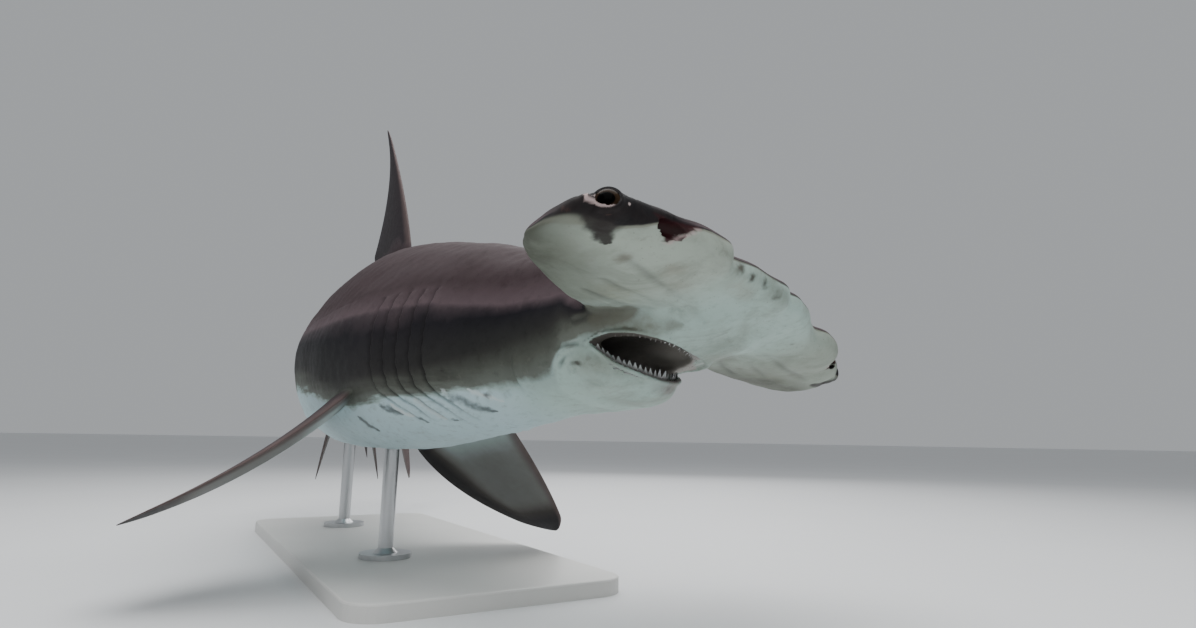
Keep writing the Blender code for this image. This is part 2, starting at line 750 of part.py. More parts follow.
def fin(name, shape, station, root, lean, turn, bend):
    # A lean of 0 stands straight up and half a turn hangs straight down
    lean, turn = radians(lean), radians(turn)
    outward = Vector((0.0, sin(lean), cos(lean)))
    across = Vector((0.0, cos(lean), -sin(lean)))
    backward = cos(turn) * Vector((-1.0, 0.0, 0.0)) + sin(turn) * across
    sideways = backward.cross(outward)
    rings = []
    for row in fin_rows(shape):
        ring = []
        for back, out, side in blade_ring(*row, FIN_POINTS, FIN_REAR_THIN):
            side -= bend * (out / shape["height"]) ** 2
            point = Vector(root) + back * backward + out * outward + side * sideways
            ring.append(frame_at(station) @ point)
        rings.append(ring)
    item = loft(name, rings, PARTS, mirrored=True)
    combine(item, [grown_body()], 'DIFFERENCE')
    keep_surface(item)
    finish(item, FIN_BROWN)


def fins():
    for name, row in FINS.items():
        fin(name, *row)


def tail_blade(name, rows, grow=0.0, group=PARTS):
    rings = []
    for lead, trail, thickness, sharpness in rows:
        reach = ((trail[0] - lead[0]) ** 2 + (trail[1] - lead[1]) ** 2) ** 0.5
        step = [(trail[i] - lead[i]) / reach * grow for i in (0, 1)]
        near = (lead[0] - step[0], lead[1] - step[1])
        far = (trail[0] + step[0], trail[1] + step[1])
        ring = blade_ring(near, far, thickness + grow, TAIL_POINTS, sharpness)
        rings.append([place(STALK_STATION + back, side, up) for back, up, side in ring])
    return loft(name, rings, group, mirrored=True)


def tail_fins():
    upper = tail_blade("caudal_fin_upper", UPPER_LOBE)
    finish(upper, FIN_BROWN)
    lower = tail_blade("caudal_fin_lower", LOWER_LOBE)
    combine(lower, [tail_blade("grown_lobe", UPPER_LOBE, GAP, TOOLS)], 'DIFFERENCE')
    keep_surface(lower)
    finish(lower, FIN_BROWN)


# Stand

def stand_base():
    def build(work):
        bmesh.ops.create_cube(work, size=1.0, matrix=Matrix.Diagonal((*BASE_SIZE, 1.0)))
        upright = [e for e in work.edges if abs(e.verts[0].co.z - e.verts[1].co.z) > GAP]
        bmesh.ops.bevel(work, geom=upright, offset=BASE_CORNER, offset_type='OFFSET',
                        affect='EDGES', segments=6, profile=0.5)
        rim = [e for e in work.edges if min(v.co.z for v in e.verts) > 0.0]
        bmesh.ops.bevel(work, geom=rim, offset=BASE_EDGE, offset_type='OFFSET',
                        affect='EDGES', segments=2, profile=0.5)
    lift = Matrix.Translation((0.0, 0.0, BASE_SIZE[2] / 2))
    finish(primitive("stand_base", build, lift, PARTS), BASE_PAINT)


def stand_rod(name, station):
    # A turned profile from its top down: shaft, foot flange and underside
    foot = BASE_SIZE[2] + GAP
    top = AXIS_HEIGHT - ROD_SINK
    profile = ((0.0, top), (ROD_RADIUS, top), (ROD_RADIUS, foot + 2 * FLANGE_HEIGHT),
               (ROD_RADIUS + FLANGE_HEIGHT, foot + FLANGE_HEIGHT),
               (FLANGE_RADIUS, foot + FLANGE_HEIGHT), (FLANGE_RADIUS, foot), (0.0, foot))
    spot = frame_at(station).translation
    mesh = bpy.data.meshes.new(name)
    mesh.from_pydata([(x, 0.0, z) for x, z in profile],
                     [(i, i + 1) for i in range(len(profile) - 1)], [])
    item = add_object(name, mesh)
    item.location = (spot.x, spot.y, 0.0)
    screw = item.modifiers.new("Turn", 'SCREW')
    screw.steps = screw.render_steps = ROD_SIDES
    screw.use_merge_vertices = True
    screw.merge_threshold = 0.0001
    combine(item, [grown_body()], 'DIFFERENCE')
    keep_surface(item)
    finish(item, ROD_STEEL)


def main():
    head_nodes()
    body_lengths()
    fins()
    tail_fins()
    stand_base()
    for name, station in ROD_STATIONS.items():
        stand_rod(name, station)


main()
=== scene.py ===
from math import cos, pi, radians, sin

import bmesh
import bpy
import numpy as np
from mathutils import Matrix, Vector


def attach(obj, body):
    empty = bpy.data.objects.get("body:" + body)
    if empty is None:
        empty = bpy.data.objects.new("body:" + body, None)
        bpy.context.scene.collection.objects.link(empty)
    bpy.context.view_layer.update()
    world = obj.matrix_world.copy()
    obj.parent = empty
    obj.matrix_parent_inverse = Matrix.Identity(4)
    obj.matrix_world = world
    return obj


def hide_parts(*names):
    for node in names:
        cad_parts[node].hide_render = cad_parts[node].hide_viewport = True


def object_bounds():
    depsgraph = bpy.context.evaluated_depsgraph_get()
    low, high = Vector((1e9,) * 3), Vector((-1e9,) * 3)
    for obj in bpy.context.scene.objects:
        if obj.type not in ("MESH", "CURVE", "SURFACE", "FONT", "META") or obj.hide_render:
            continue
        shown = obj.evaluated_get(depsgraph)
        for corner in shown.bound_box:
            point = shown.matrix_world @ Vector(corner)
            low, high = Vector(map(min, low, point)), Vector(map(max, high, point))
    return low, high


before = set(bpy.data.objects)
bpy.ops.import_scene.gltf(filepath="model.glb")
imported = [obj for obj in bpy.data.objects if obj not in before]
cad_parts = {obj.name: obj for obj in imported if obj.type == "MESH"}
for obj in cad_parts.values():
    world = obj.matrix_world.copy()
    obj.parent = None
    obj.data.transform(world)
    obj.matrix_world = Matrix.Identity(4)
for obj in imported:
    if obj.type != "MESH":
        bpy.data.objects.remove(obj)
cadBox = [list(corner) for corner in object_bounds()]
print("frame loaded")

# Places on the shark are a station behind the snout, y to its left and z up from its axis
spine = {"height": 0.48, "levelStation": 1.00, "levelPlace": (0.20, -0.09),
         "headStation": 0.55, "tailStation": 2.60, "headYaw": radians(23.7),
         "headRoll": radians(-8.7), "tailYaw": radians(-36.8), "step": 0.01, "end": 3.40}


def ease(value):
    value = np.clip(value, 0.0, 1.0)
    return value * value * (3.0 - 2.0 * value)


def turnAt(station):
    level = spine["levelStation"]
    front = ease((level - station) / (level - spine["headStation"]))
    rear = ease((station - level) / (spine["tailStation"] - level))
    return spine["headYaw"] * front + spine["tailYaw"] * rear, spine["headRoll"] * front


axisStations = np.arange(0.0, spine["end"], spine["step"])
axisYaws = turnAt(axisStations + spine["step"] / 2)[0]
axisMoves = -spine["step"] * np.stack([np.cos(axisYaws), np.sin(axisYaws), 0 * axisYaws], axis=1)
axisPoints = np.vstack([np.zeros((1, 3)), np.cumsum(axisMoves, axis=0)[:-1]])
axisPoints += np.array([*spine["levelPlace"], spine["height"]])
axisPoints -= axisPoints[int(round(spine["levelStation"] / spine["step"]))] \
    - np.array([*spine["levelPlace"], spine["height"]])


def axisAt(station):
    return np.stack([np.interp(station, axisStations, axisPoints[:, i]) for i in range(3)], axis=-1)


def frameAt(station):
    yaw, roll = turnAt(station)
    return (Matrix.Translation(axisAt(station)) @ Matrix.Rotation(yaw, 4, 'Z')
            @ Matrix.Rotation(roll, 4, 'X'))


def inWorld(station, y, z):
    station, y, z = np.broadcast_arrays(np.asarray(station, float), y, z)
    yaw, roll = turnAt(station)
    across, up = y * np.cos(roll) - z * np.sin(roll), y * np.sin(roll) + z * np.cos(roll)
    return axisAt(station) + np.stack([-np.sin(yaw) * across, np.cos(yaw) * across, up], axis=-1)


def onShark(points):
    # Station, y and z of points in the room
    station = axisStations[::10][np.argmin(
        ((points[:, None, :2] - axisPoints[None, ::10, :2]) ** 2).sum(-1), axis=1)]
    for _ in range(8):
        yaw, roll = turnAt(station)
        away = points - axisAt(station)
        station = station - away[:, 0] * np.cos(yaw) - away[:, 1] * np.sin(yaw)
        station = np.clip(station, 0.0, spine["end"] - spine["step"])
    yaw, roll = turnAt(station)
    away = points - axisAt(station)
    ahead = away[:, 0] * np.cos(yaw) + away[:, 1] * np.sin(yaw)
    across = -away[:, 0] * np.sin(yaw) + away[:, 1] * np.cos(yaw)
    y = across * np.cos(roll) + away[:, 2] * np.sin(roll)
    z = -across * np.sin(roll) + away[:, 2] * np.cos(roll)
    return np.stack([station - ahead, y, z], axis=1)


def smoothRows(rows, value):
    # Smooth curves through the rows' points, one column for each size
    table = np.array(rows)
    knots, sizes = table[:, 0], table[:, 1:]
    slopes = np.gradient(sizes, knots, axis=0)
    value = np.clip(value, knots[0], knots[-1])
    i = np.clip(np.searchsorted(knots, value) - 1, 0, len(knots) - 2)
    span = (knots[i + 1] - knots[i])[..., None]
    t = (value - knots[i])[..., None] / span
    return ((2 * t**3 - 3 * t**2 + 1) * sizes[i] + (t**3 - 2 * t**2 + t) * span * slopes[i]
            + (3 * t**2 - 2 * t**3) * sizes[i + 1] + (t**3 - t**2) * span * slopes[i + 1])


# Meshes

def asObject(name, work):
    mesh = bpy.data.meshes.new(name)
    work.to_mesh(mesh)
    work.free()
    made = bpy.data.objects.new(name, mesh)
    bpy.context.scene.collection.objects.link(made)
    return made


def wrap(name, around, along, shape):
    # A grid rolled into a closed form: shape places the points by their shares around and along
    work = bmesh.new()
    bmesh.ops.create_grid(work, x_segments=around, y_segments=along, size=0.5)
    work.verts.ensure_lookup_table()
    shares = np.array([v.co[:2] for v in work.verts]) + 0.5
    for vert, point in zip(work.verts, shape(shares[:, 0], shares[:, 1])):
        vert.co = point
    bmesh.ops.remove_doubles(work, verts=work.verts, dist=0.000002)
    bmesh.ops.holes_fill(work, edges=[e for e in work.edges if e.is_boundary])
    bmesh.ops.triangulate(work, faces=[f for f in work.faces if len(f.verts) > 4])
    bmesh.ops.recalc_face_normals(work, faces=work.faces)
    return asObject(name, work)


def evaluated(item):
    # Applies the modifiers
    graph = bpy.context.evaluated_depsgraph_get()
    mesh = bpy.data.meshes.new_from_object(item.evaluated_get(graph))
    item.modifiers.clear()
    old = item.data
    item.data = mesh
    bpy.data.meshes.remove(old)


def combine(target, others, operation):
    for other in others:
        step = target.modifiers.new("combine", 'BOOLEAN')
        step.operation = operation
        step.object = other
        step.solver = 'MANIFOLD'
        evaluated(target)
        bpy.data.objects.remove(other, do_unlink=True)


def ball(name, spot, around=48, along=24):
    work = bmesh.new()
    bmesh.ops.create_uvsphere(work, u_segments=around, v_segments=along, radius=1.0)
    bmesh.ops.transform(work, matrix=spot, verts=work.verts)
    bmesh.ops.recalc_face_normals(work, faces=work.faces)
    return asObject(name, work)


def points(item):
    co = np.zeros(len(item.data.vertices) * 3)
    item.data.vertices.foreach_get("co", co)
    return co.reshape(-1, 3)


def setPoints(item, co):
    item.data.vertices.foreach_set("co", np.asarray(co, np.float32).ravel())
    item.data.update()


def normals(item):
    co = np.zeros(len(item.data.vertices) * 3)
    item.data.vertex_normals.foreach_get("vector", co)
    return co.reshape(-1, 3)


def smooth(item, weights, factor, rounds):
    group = item.vertex_groups.new(name="soft")
    steps = np.round(np.clip(weights, 0.0, 1.0) * 10).astype(int)
    for level in range(1, 11):
        group.add([int(i) for i in np.nonzero(steps == level)[0]], level / 10, 'REPLACE')
    step = item.modifiers.new("smooth", 'SMOOTH')
    step.factor, step.iterations, step.vertex_group = factor, rounds, "soft"
    evaluated(item)
    item.vertex_groups.clear()


# The body: station, half width, height above the axis, depth below it
body = {
    "sections": ((0.055, 0.095, 0.020, 0.020), (0.110, 0.120, 0.042, 0.040),
                 (0.180, 0.128, 0.062, 0.062), (0.250, 0.132, 0.082, 0.086),
                 (0.320, 0.136, 0.100, 0.122), (0.440, 0.141, 0.130, 0.158),
                 (0.600, 0.160, 0.175, 0.190), (0.750, 0.178, 0.208, 0.212),
                 (0.950, 0.188, 0.227, 0.219), (1.200, 0.184, 0.225, 0.214),
                 (1.450, 0.157, 0.200, 0.193), (1.700, 0.128, 0.162, 0.155),
                 (1.950, 0.095, 0.118, 0.108), (2.150, 0.064, 0.083, 0.075),
                 (2.360, 0.042, 0.056, 0.050)),
    "headPower": 3.0, "bellyPower": 2.35, "backPower": 1.55, "neck": 0.44, "backStart": 0.35,
    "end": 2.40, "endShrink": 0.75}


def bodySection(station):
    half, top, bottom = np.moveaxis(smoothRows(body["sections"], station), -1, 0)
    last = body["sections"][-1][0]
    fade = 1.0 - body["endShrink"] * np.clip((station - last) / (body["end"] - last), 0.0, 1.0)
    neckShare = ease((station - mouth["corner"][0]) / (body["neck"] - mouth["corner"][0]))
    low = body["headPower"] + (body["bellyPower"] - body["headPower"]) * neckShare
    backShare = ease((station - body["neck"]) / body["backStart"])
    high = low + (body["backPower"] - body["bellyPower"]) * backShare
    return half * fade, top * fade, bottom * fade, high, low


def rounded(angle, half, top, bottom, power):
    across, up = np.cos(angle), np.sin(angle)
    return (half * np.sign(across) * np.abs(across) ** (2.0 / power),
            np.where(up > 0.0, top, bottom) * np.sign(up) * np.abs(up) ** (2.0 / power))


def bodyForm(around, along):
    start = body["sections"][0][0]
    station = start + (body["end"] - start) * along
    half, top, bottom, high, low = bodySection(station)
    angle = 2 * pi * around
    y, z = rounded(angle, half, top, bottom, np.where(np.sin(angle) > 0.0, high, low))
    return inWorld(station, y, z)


# The hammer: distance from the middle, front edge, rear edge, half thickness
hammer = {
    "sections": ((0.000, 0.026, 0.289, 0.036), (0.020, 0.019, 0.290, 0.035),
                 (0.050, 0.019, 0.291, 0.034), (0.100, 0.026, 0.289, 0.032),
                 (0.140, 0.038, 0.285, 0.032), (0.165, 0.041, 0.282, 0.033),
                 (0.185, 0.029, 0.279, 0.034), (0.215, 0.026, 0.272, 0.034),
                 (0.250, 0.031, 0.264, 0.034), (0.290, 0.050, 0.250, 0.033),
                 (0.325, 0.057, 0.235, 0.030), (0.355, 0.063, 0.219, 0.027),
                 (0.380, 0.078, 0.200, 0.024), (0.397, 0.088, 0.175, 0.016),
                 (0.405, 0.097, 0.141, 0.009)),
    "rise": 0.008, "droop": 0.015, "rearDrop": 0.022, "rearThin": 0.30, "blunt": 0.35}


def hammerForm(around, along):
    rows = hammer["sections"]
    reach = rows[-1][0]
    y = reach * np.sin(pi * (along - 0.5))
    both = [(-row[0], *row[1:]) for row in reversed(rows[1:])] + list(rows)
    front, rear, thickness = np.moveaxis(smoothRows(both, y), -1, 0)
    angle = 2 * pi * around
    back = (1.0 - np.cos(angle)) / 2.0
    middle = hammer["rise"] - hammer["droop"] * (y / reach) ** 2 - hammer["rearDrop"] * back
    side = np.sign(np.sin(angle)) * np.abs(np.sin(angle)) ** (1.0 - hammer["blunt"] * (1.0 - back))
    z = middle + thickness * side * (1.0 - hammer["rearThin"] * back)
    return inWorld(front + (rear - front) * back, y, z)


# The mouth: heights of its edges by station, the jaw under it and the hollows inside
mouth = {
    "corner": (0.290, -0.073),
    "upperLip": ((0.176, -0.058), (0.215, -0.057), (0.253, -0.059), (0.275, -0.065)),
    "lowerLip": ((0.262, -0.0813), (0.241, -0.0934), (0.227, -0.1014), (0.222, -0.106), (0.200, -0.110)),
    "gapeFront": (0.176, -0.112), "cutHalfWidth": 0.20, "tilt": 0.12, "tiltLength": 0.045,
    "jawFront": 0.218, "jawReach": 0.105, "jawHalfWidth": 0.126, "jawPower": 2.0,
    "jawMiddle": -0.085, "jawRise": 0.035, "power": 2.6,
    "underside": ((0.220, 0.106), (0.226, 0.115), (0.245, 0.123), (0.275, 0.130),
                  (0.340, 0.140), (0.400, 0.145), (0.425, 0.145)),
    "palate": (0.196, -0.034, -0.078), "floor": (0.242, -0.060, -0.112),
    "hollowHalfWidth": 0.100, "hollowEnd": 0.380, "hollowTaper": 0.55,
    "lipRadius": 0.0045, "lipPoints": 60,
    "upperLine": (0.178, 0.290, 0.123, 3.2), "lowerLine": (0.222, 0.290, 0.118, 2.1)}


def jawPlan(station, front, half, power):
    left = np.clip((front + mouth["jawReach"] - station) / mouth["jawReach"], 0.0, 1.0)
    return half * (1.0 - left**power) ** (1.0 / power)


def jawForm(around, along):
    rows = np.array(mouth["underside"])
    station = rows[0, 0] + (rows[-1, 0] - rows[0, 0]) * along**1.6
    depth = np.interp(station, rows[:, 0], rows[:, 1])
    width = jawPlan(station, mouth["jawFront"], mouth["jawHalfWidth"], mouth["jawPower"])
    y, z = rounded(2 * pi * around, width, mouth["jawRise"], depth + mouth["jawMiddle"], mouth["power"])
    return inWorld(station, y, mouth["jawMiddle"] + z)


def hollowSize(station, front, top, bottom):
    corner = mouth["corner"][0]
    fade = 1.0 - mouth["hollowTaper"] * ease((station - corner) / (mouth["hollowEnd"] - corner))
    width = jawPlan(station, front, mouth["hollowHalfWidth"], mouth["power"]) * fade
    return width, (top - bottom) / 2 * fade


def hollow(name, front, top, bottom):
    def form(around, along):
        station = front + 0.001 + (mouth["hollowEnd"] - front - 0.001) * along
        width, half = hollowSize(station, front, top, bottom)
        y, z = rounded(2 * pi * around, width, half, half, mouth["power"])
        return inWorld(station, y, (top + bottom) / 2 + z)
    return wrap(name, 96, 40, form)


def jawTilt(station, y):
    # The lower jaw hangs a little lower on its right
    return mouth["tilt"] * y * ease((mouth["corner"][0] - station) / mouth["tiltLength"])


def gape():
    # The open mouth seen from the side, pushed through the head
    low = [mouth["corner"], *mouth["lowerLip"], mouth["gapeFront"]]
    work = bmesh.new()
    sides = []
    for y in (-mouth["cutHalfWidth"], mouth["cutHalfWidth"]):
        outline = [(s, z + jawTilt(s, y)) for s, z in low] + list(mouth["upperLip"])
        sides.append([work.verts.new(inWorld(s, y, z)) for s, z in outline])
    right, left = sides
    work.faces.new(right)
    work.faces.new(left[::-1])
    for i in range(len(right)):
        work.faces.new((right[i - 1], right[i], left[i], left[i - 1]))
    bmesh.ops.triangulate(work, faces=work.faces)
    bmesh.ops.recalc_face_normals(work, faces=work.faces)
    return asObject("gape", work)


def rimPoint(halfAngle, front, end, half, power):
    along, across = np.cos(halfAngle), np.sin(halfAngle)
    station = end - (end - front) * np.abs(along) ** (2.0 / power)
    return station, half * np.sign(across) * np.abs(across) ** (2.0 / power)


def lipHeight(outline, station, y):
    line = np.array(sorted([*outline, mouth["corner"]]))
    height = np.interp(station, line[:, 0], line[:, 1])
    return height + jawTilt(station, y) if outline is mouth["lowerLip"] else height


def lipLine(line, outline, reach=pi / 2, count=31):
    station, y = rimPoint(reach * np.linspace(-1.0, 1.0, count), *line)
    return np.stack([station, y, lipHeight(outline, station, y)], axis=1)


def lip(line, outline):
    # Full in the middle and thin at the mouth's corners
    halfAngle = pi / 2 * np.linspace(-1.0, 1.0, mouth["lipPoints"] + 1)
    station, y = rimPoint(halfAngle, *line)
    path = inWorld(station, y, lipHeight(outline, station, y))
    sizes = np.maximum(np.abs(np.cos(halfAngle)) ** 0.5, 0.2)
    return rod("lip", path, mouth["lipRadius"] * sizes, 16)


def rod(name, path, radii, sides):
    # A round rod along a path, with its own radius at each point
    def form(around, along):
        i = np.clip(along * (len(path) - 1), 0, len(path) - 1)
        at = np.stack([np.interp(i, np.arange(len(path)), path[:, k]) for k in range(3)], axis=-1)
        ahead = np.gradient(path, axis=0)
        ahead = np.stack([np.interp(i, np.arange(len(path)), ahead[:, k]) for k in range(3)], axis=-1)
        ahead /= np.linalg.norm(ahead, axis=1, keepdims=True)
        aside = np.cross(ahead, (0.0, 0.0, 1.0))
        aside /= np.linalg.norm(aside, axis=1, keepdims=True)
        above = np.cross(aside, ahead)
        radius = np.interp(i, np.arange(len(path)), radii)[:, None]
        angle = (2 * pi * around)[:, None]
        return at + radius * (aside * np.cos(angle) + above * np.sin(angle))
    return wrap(name, sides, len(path) - 1, form)


# Eyes and nostrils
eye = {"place": (0.087, 0.376, -0.006), "radius": 0.018, "forward": radians(25.0),
       "orbitRadius": 0.0215, "orbitInset": 0.006, "openLong": radians(53.0),
       "openHigh": radians(46.0), "openTilt": radians(14.0), "lidCrest": 0.0197, "behind": 0.0168,
       "foldReach": radians(9.5), "foldAt": radians(-122.0), "foldHeight": 0.0184}
nostril = {"place": (0.057, 0.299, -0.005), "size": (0.011, 0.025, 0.010), "turn": radians(20.0),
           "corners": ((0.329, 0.001), (0.295, -0.021), (0.260, 0.010))}


def eyeSpot(side):
    station, out, up = eye["place"]
    look = Matrix.Rotation(side * (pi / 2 - eye["forward"]), 4, 'Z') @ Matrix.Rotation(pi / 2, 4, 'Y')
    return frameAt(station) @ Matrix.Translation((0.0, side * out, up)) @ look


def eyePolar(co, side):
    # Distance from the eye's middle, angle from its opening's axis, bearing round it and the
    # opening's reach that way; a bearing of 0 is forward and a quarter turn is up
    turn = np.array(eyeSpot(side).inverted())
    spot = co @ turn[:3, :3].T + turn[:3, 3]
    forward, up, out = -side * spot[:, 1], -spot[:, 0], spot[:, 2]
    tilt = eye["openTilt"]
    out, up = out * cos(tilt) + up * sin(tilt), up * cos(tilt) - out * sin(tilt)
    far = np.linalg.norm(spot, axis=1)
    angle = np.arctan2(np.hypot(forward, up), out)
    bearing = np.arctan2(up, forward)
    reach = 1.0 / np.hypot(np.cos(bearing) / eye["openLong"], np.sin(bearing) / eye["openHigh"])
    return far, angle, bearing, reach


def foldReach(bearing):
    # How far the pale lower fold comes over the eye
    turn = (bearing - eye["foldAt"] + pi) % (2 * pi) - pi
    return eye["foldReach"] * np.clip(np.cos(turn * 1.1), 0.0, 1.0) ** 0.6 * (np.abs(turn) < 1.42)


def shapeLids(co):
    # The skin dips under the eyeball inside the opening and rises to a lid round it
    for side in (1, -1):
        far, angle, bearing, reach = eyePolar(co, side)
        past = np.degrees(angle - reach)
        over = np.degrees(foldReach(bearing))
        inner = np.where(past > -over, eye["foldHeight"], eye["behind"])
        lid = inner + (eye["lidCrest"] - inner) * ease((past + 1.0) / 5.0)
        share = 1.0 - ease((past - 7.0) / 26.0)
        near = (far < 0.026) & (far > 0.010) & (past < 34.0)
        wanted = far + (lid - far) * share
        centre = np.array(eyeSpot(side).translation)
        co[near] = centre + (co[near] - centre) * (wanted[near] / far[near])[:, None]
    return co


def headTools():
    solids, cuts = [], [gape(), hollow("palate", *mouth["palate"]), hollow("floor", *mouth["floor"])]
    for side in (1, -1):
        spot = eyeSpot(side)
        inset = Matrix.Translation((0.0, 0.0, -eye["orbitInset"]))
        solids.append(ball("orbit", spot @ inset @ Matrix.Scale(eye["orbitRadius"], 4)))
        station, out, up = nostril["place"]
        hole = frameAt(station) @ Matrix.Translation((0.0, side * out, up))
        hole = hole @ Matrix.Rotation(side * nostril["turn"], 4, 'Z') @ Matrix.Diagonal((*nostril["size"], 1.0))
        cuts.append(ball("nostrilHole", hole))
    return solids, cuts


# Fins: the same sizes as the solids, drawn smoothly
fin = {
    "firstDorsal": {"height": 0.405, "base": 0.256, "sweep": 0.285, "rear": 0.335,
                    "hollow": 0.085, "tip": 0.035, "thickness": 0.016, "bow": 1.25},
    "secondDorsal": {"height": 0.180, "base": 0.140, "sweep": 0.130, "rear": 0.225,
                     "hollow": 0.040, "tip": 0.020, "thickness": 0.008, "bow": 1.25},
    "anal": {"height": 0.170, "base": 0.180, "sweep": 0.150, "rear": 0.235,
             "hollow": 0.045, "tip": 0.020, "thickness": 0.008, "bow": 1.25},
    "pelvic": {"height": 0.178, "base": 0.150, "sweep": 0.160, "rear": 0.200,
               "hollow": 0.035, "tip": 0.022, "thickness": 0.009, "bow": 1.25},
    "pectoral": {"height": 0.388, "base": 0.240, "sweep": 0.088, "rear": 0.318,
                 "hollow": -0.045, "tip": 0.110, "thickness": 0.018, "bow": 2.2},
    "root": 0.045, "lobe": 0.14, "tipShare": 0.86, "edge": 0.12, "thinning": 0.8,
    "rearThin": 0.5, "tipSetback": 0.6, "edgeHalf": 0.0008}
# Shape, station, root forward, left and up, lean from upright, turn, how far the tip bends
finPlaces = (
    ("firstDorsal", 1.05, (0.114, 0.0, 0.226), 0.0, 0.0, 0.0),
    ("secondDorsal", 2.07, (0.070, 0.0, 0.098), 0.0, 0.0, 0.0),
    ("anal", 2.03, (0.095, 0.0, -0.100), 180.0, 0.0, 0.0),
    ("pectoral", 0.80, (0.030, 0.165, -0.119), 134.7, 15.0, 0.040),
    ("pectoral", 0.80, (0.030, -0.165, -0.126), -136.0, -13.5, -0.075),
    ("pelvic", 1.62, (0.070, 0.055, -0.152), 168.0, 0.0, 0.0),
    ("pelvic", 1.62, (0.070, -0.055, -0.152), -168.0, 0.0, 0.0))


def finOutline(shape, level):
    # Leading and trailing edge and half thickness at a level from root to tip
    level = np.maximum(level, 0.0)
    lead = shape["sweep"] * level ** shape["bow"]
    inner = np.minimum(level / fin["lobe"], 1.0)
    trail = shape["base"] + (shape["rear"] - shape["base"]) * np.sin(inner * pi / 2)
    outer = np.maximum((level - fin["lobe"]) / (1.0 - fin["lobe"]), 0.0)
    end = shape["sweep"] + shape["tip"] * fin["tipSetback"]
    trail = trail + (end - trail) * outer - 4 * shape["hollow"] * outer * (1.0 - outer)
    taper = np.clip((level - fin["tipShare"]) / (1.0 - fin["tipShare"]), 0.0, 1.0)
    half = (trail - lead) / 2 * np.maximum((1.0 - taper**2) ** 0.5, fin["edge"])
    thickness = shape["thickness"] * (1.0 - np.minimum(level, 1.0)) ** fin["thinning"] + fin["edgeHalf"]
    return (lead + trail) / 2 - half, (lead + trail) / 2 + half, thickness


def finAxes(station, root, lean, turn):
    lean, turn = radians(lean), radians(turn)
    outward = Vector((0.0, sin(lean), cos(lean)))
    backward = cos(turn) * Vector((-1.0, 0.0, 0.0)) + sin(turn) * Vector((0.0, cos(lean), -sin(lean)))
    spot = frameAt(station)
    turned = spot.to_3x3()
    sideways = backward.cross(outward)
    return (np.array(spot @ Vector(root)),
            np.array([turned @ backward, turned @ outward, turned @ sideways]))


def finSolid(kind, station, root, lean, turn, bend):
    shape = fin[kind]
    origin, axes = finAxes(station, root, lean, turn)
    deep = -fin["root"] / shape["height"]

    def form(around, along):
        level = deep + (1.0 - deep) * (1.0 - (1.0 - along) ** 1.25)
        lead, trail, thickness = finOutline(shape, level)
        angle = 2 * pi * around
        back = (1.0 - np.cos(angle)) / 2.0
        side = thickness * np.sin(angle) * (1.0 - fin["rearThin"] * back) - bend * level**2
        local = np.stack([lead + (trail - lead) * back, level * shape["height"], side], axis=-1)
        return origin + local @ axes
    return wrap("fin", 72, 72, form)


# Tail lobes: leading and trailing point as distance behind the stalk and height, half
# thickness, and how much thinner the trailing side is
tail = {
    "stalk": 2.36,
    "upper": (((0.000, 0.056), (0.000, -0.050), 0.0420, 0.0),
              ((0.075, 0.084), (0.100, -0.055), 0.0330, 0.2),
              ((0.170, 0.132), (0.240, -0.012), 0.0240, 0.5),
              ((0.290, 0.198), (0.370, 0.078), 0.0180, 0.6),
              ((0.420, 0.276), (0.485, 0.172), 0.0140, 0.6),
              ((0.540, 0.354), (0.590, 0.266), 0.0110, 0.6),
              ((0.640, 0.420), (0.680, 0.348), 0.0080, 0.6),
              ((0.700, 0.458), (0.722, 0.414), 0.0060, 0.6),
              ((0.740, 0.483), (0.795, 0.424), 0.0050, 0.6),
              ((0.795, 0.520), (0.835, 0.494), 0.0030, 0.6),
              ((0.828, 0.543), (0.838, 0.537), 0.0012, 0.6)),
    "lower": (((0.030, 0.000), (0.190, 0.020), 0.0240, 0.4),
              ((0.045, -0.062), (0.215, -0.045), 0.0190, 0.5),
              ((0.080, -0.135), (0.205, -0.105), 0.0140, 0.5),
              ((0.125, -0.210), (0.215, -0.178), 0.0100, 0.5),
              ((0.172, -0.280), (0.235, -0.254), 0.0065, 0.5),
              ((0.218, -0.336), (0.258, -0.322), 0.0040, 0.5),
              ((0.250, -0.370), (0.264, -0.366), 0.0015, 0.5))}


def tailLobe(rows, roundsAlong):
    table = np.array([[i, *lead, *trail, thick, sharp] for i, (lead, trail, thick, sharp) in enumerate(rows)])

    def form(around, along):
        row = smoothRows(table, along * (len(rows) - 1))
        leadX, leadZ, trailX, trailZ, thick, sharp = np.moveaxis(row, -1, 0)
        angle = 2 * pi * around
        back = (1.0 - np.cos(angle)) / 2.0
        side = thick * np.sin(angle) * (1.0 - sharp * back)
        return inWorld(tail["stalk"] + leadX + (trailX - leadX) * back, side, leadZ + (trailZ - leadZ) * back)
    return wrap("lobe", 64, roundsAlong, form)


# The skin
skin = {"voxel": 0.0028, "quickVoxel": 0.0045, "triangles": 192000,
        "headReach": 0.46, "filletWidth": 0.014}
# Gill slits: stations, height range, how far they bow and how their lower ends run forward
gills = {"stations": (0.600, 0.628, 0.656, 0.684, 0.712), "middle": -0.070, "half": 0.108,
         "bow": 0.012, "forward": 0.046, "forwardStart": -0.120, "forwardDepth": 0.055,
         "lift": 0.0065, "depth": 0.0075}
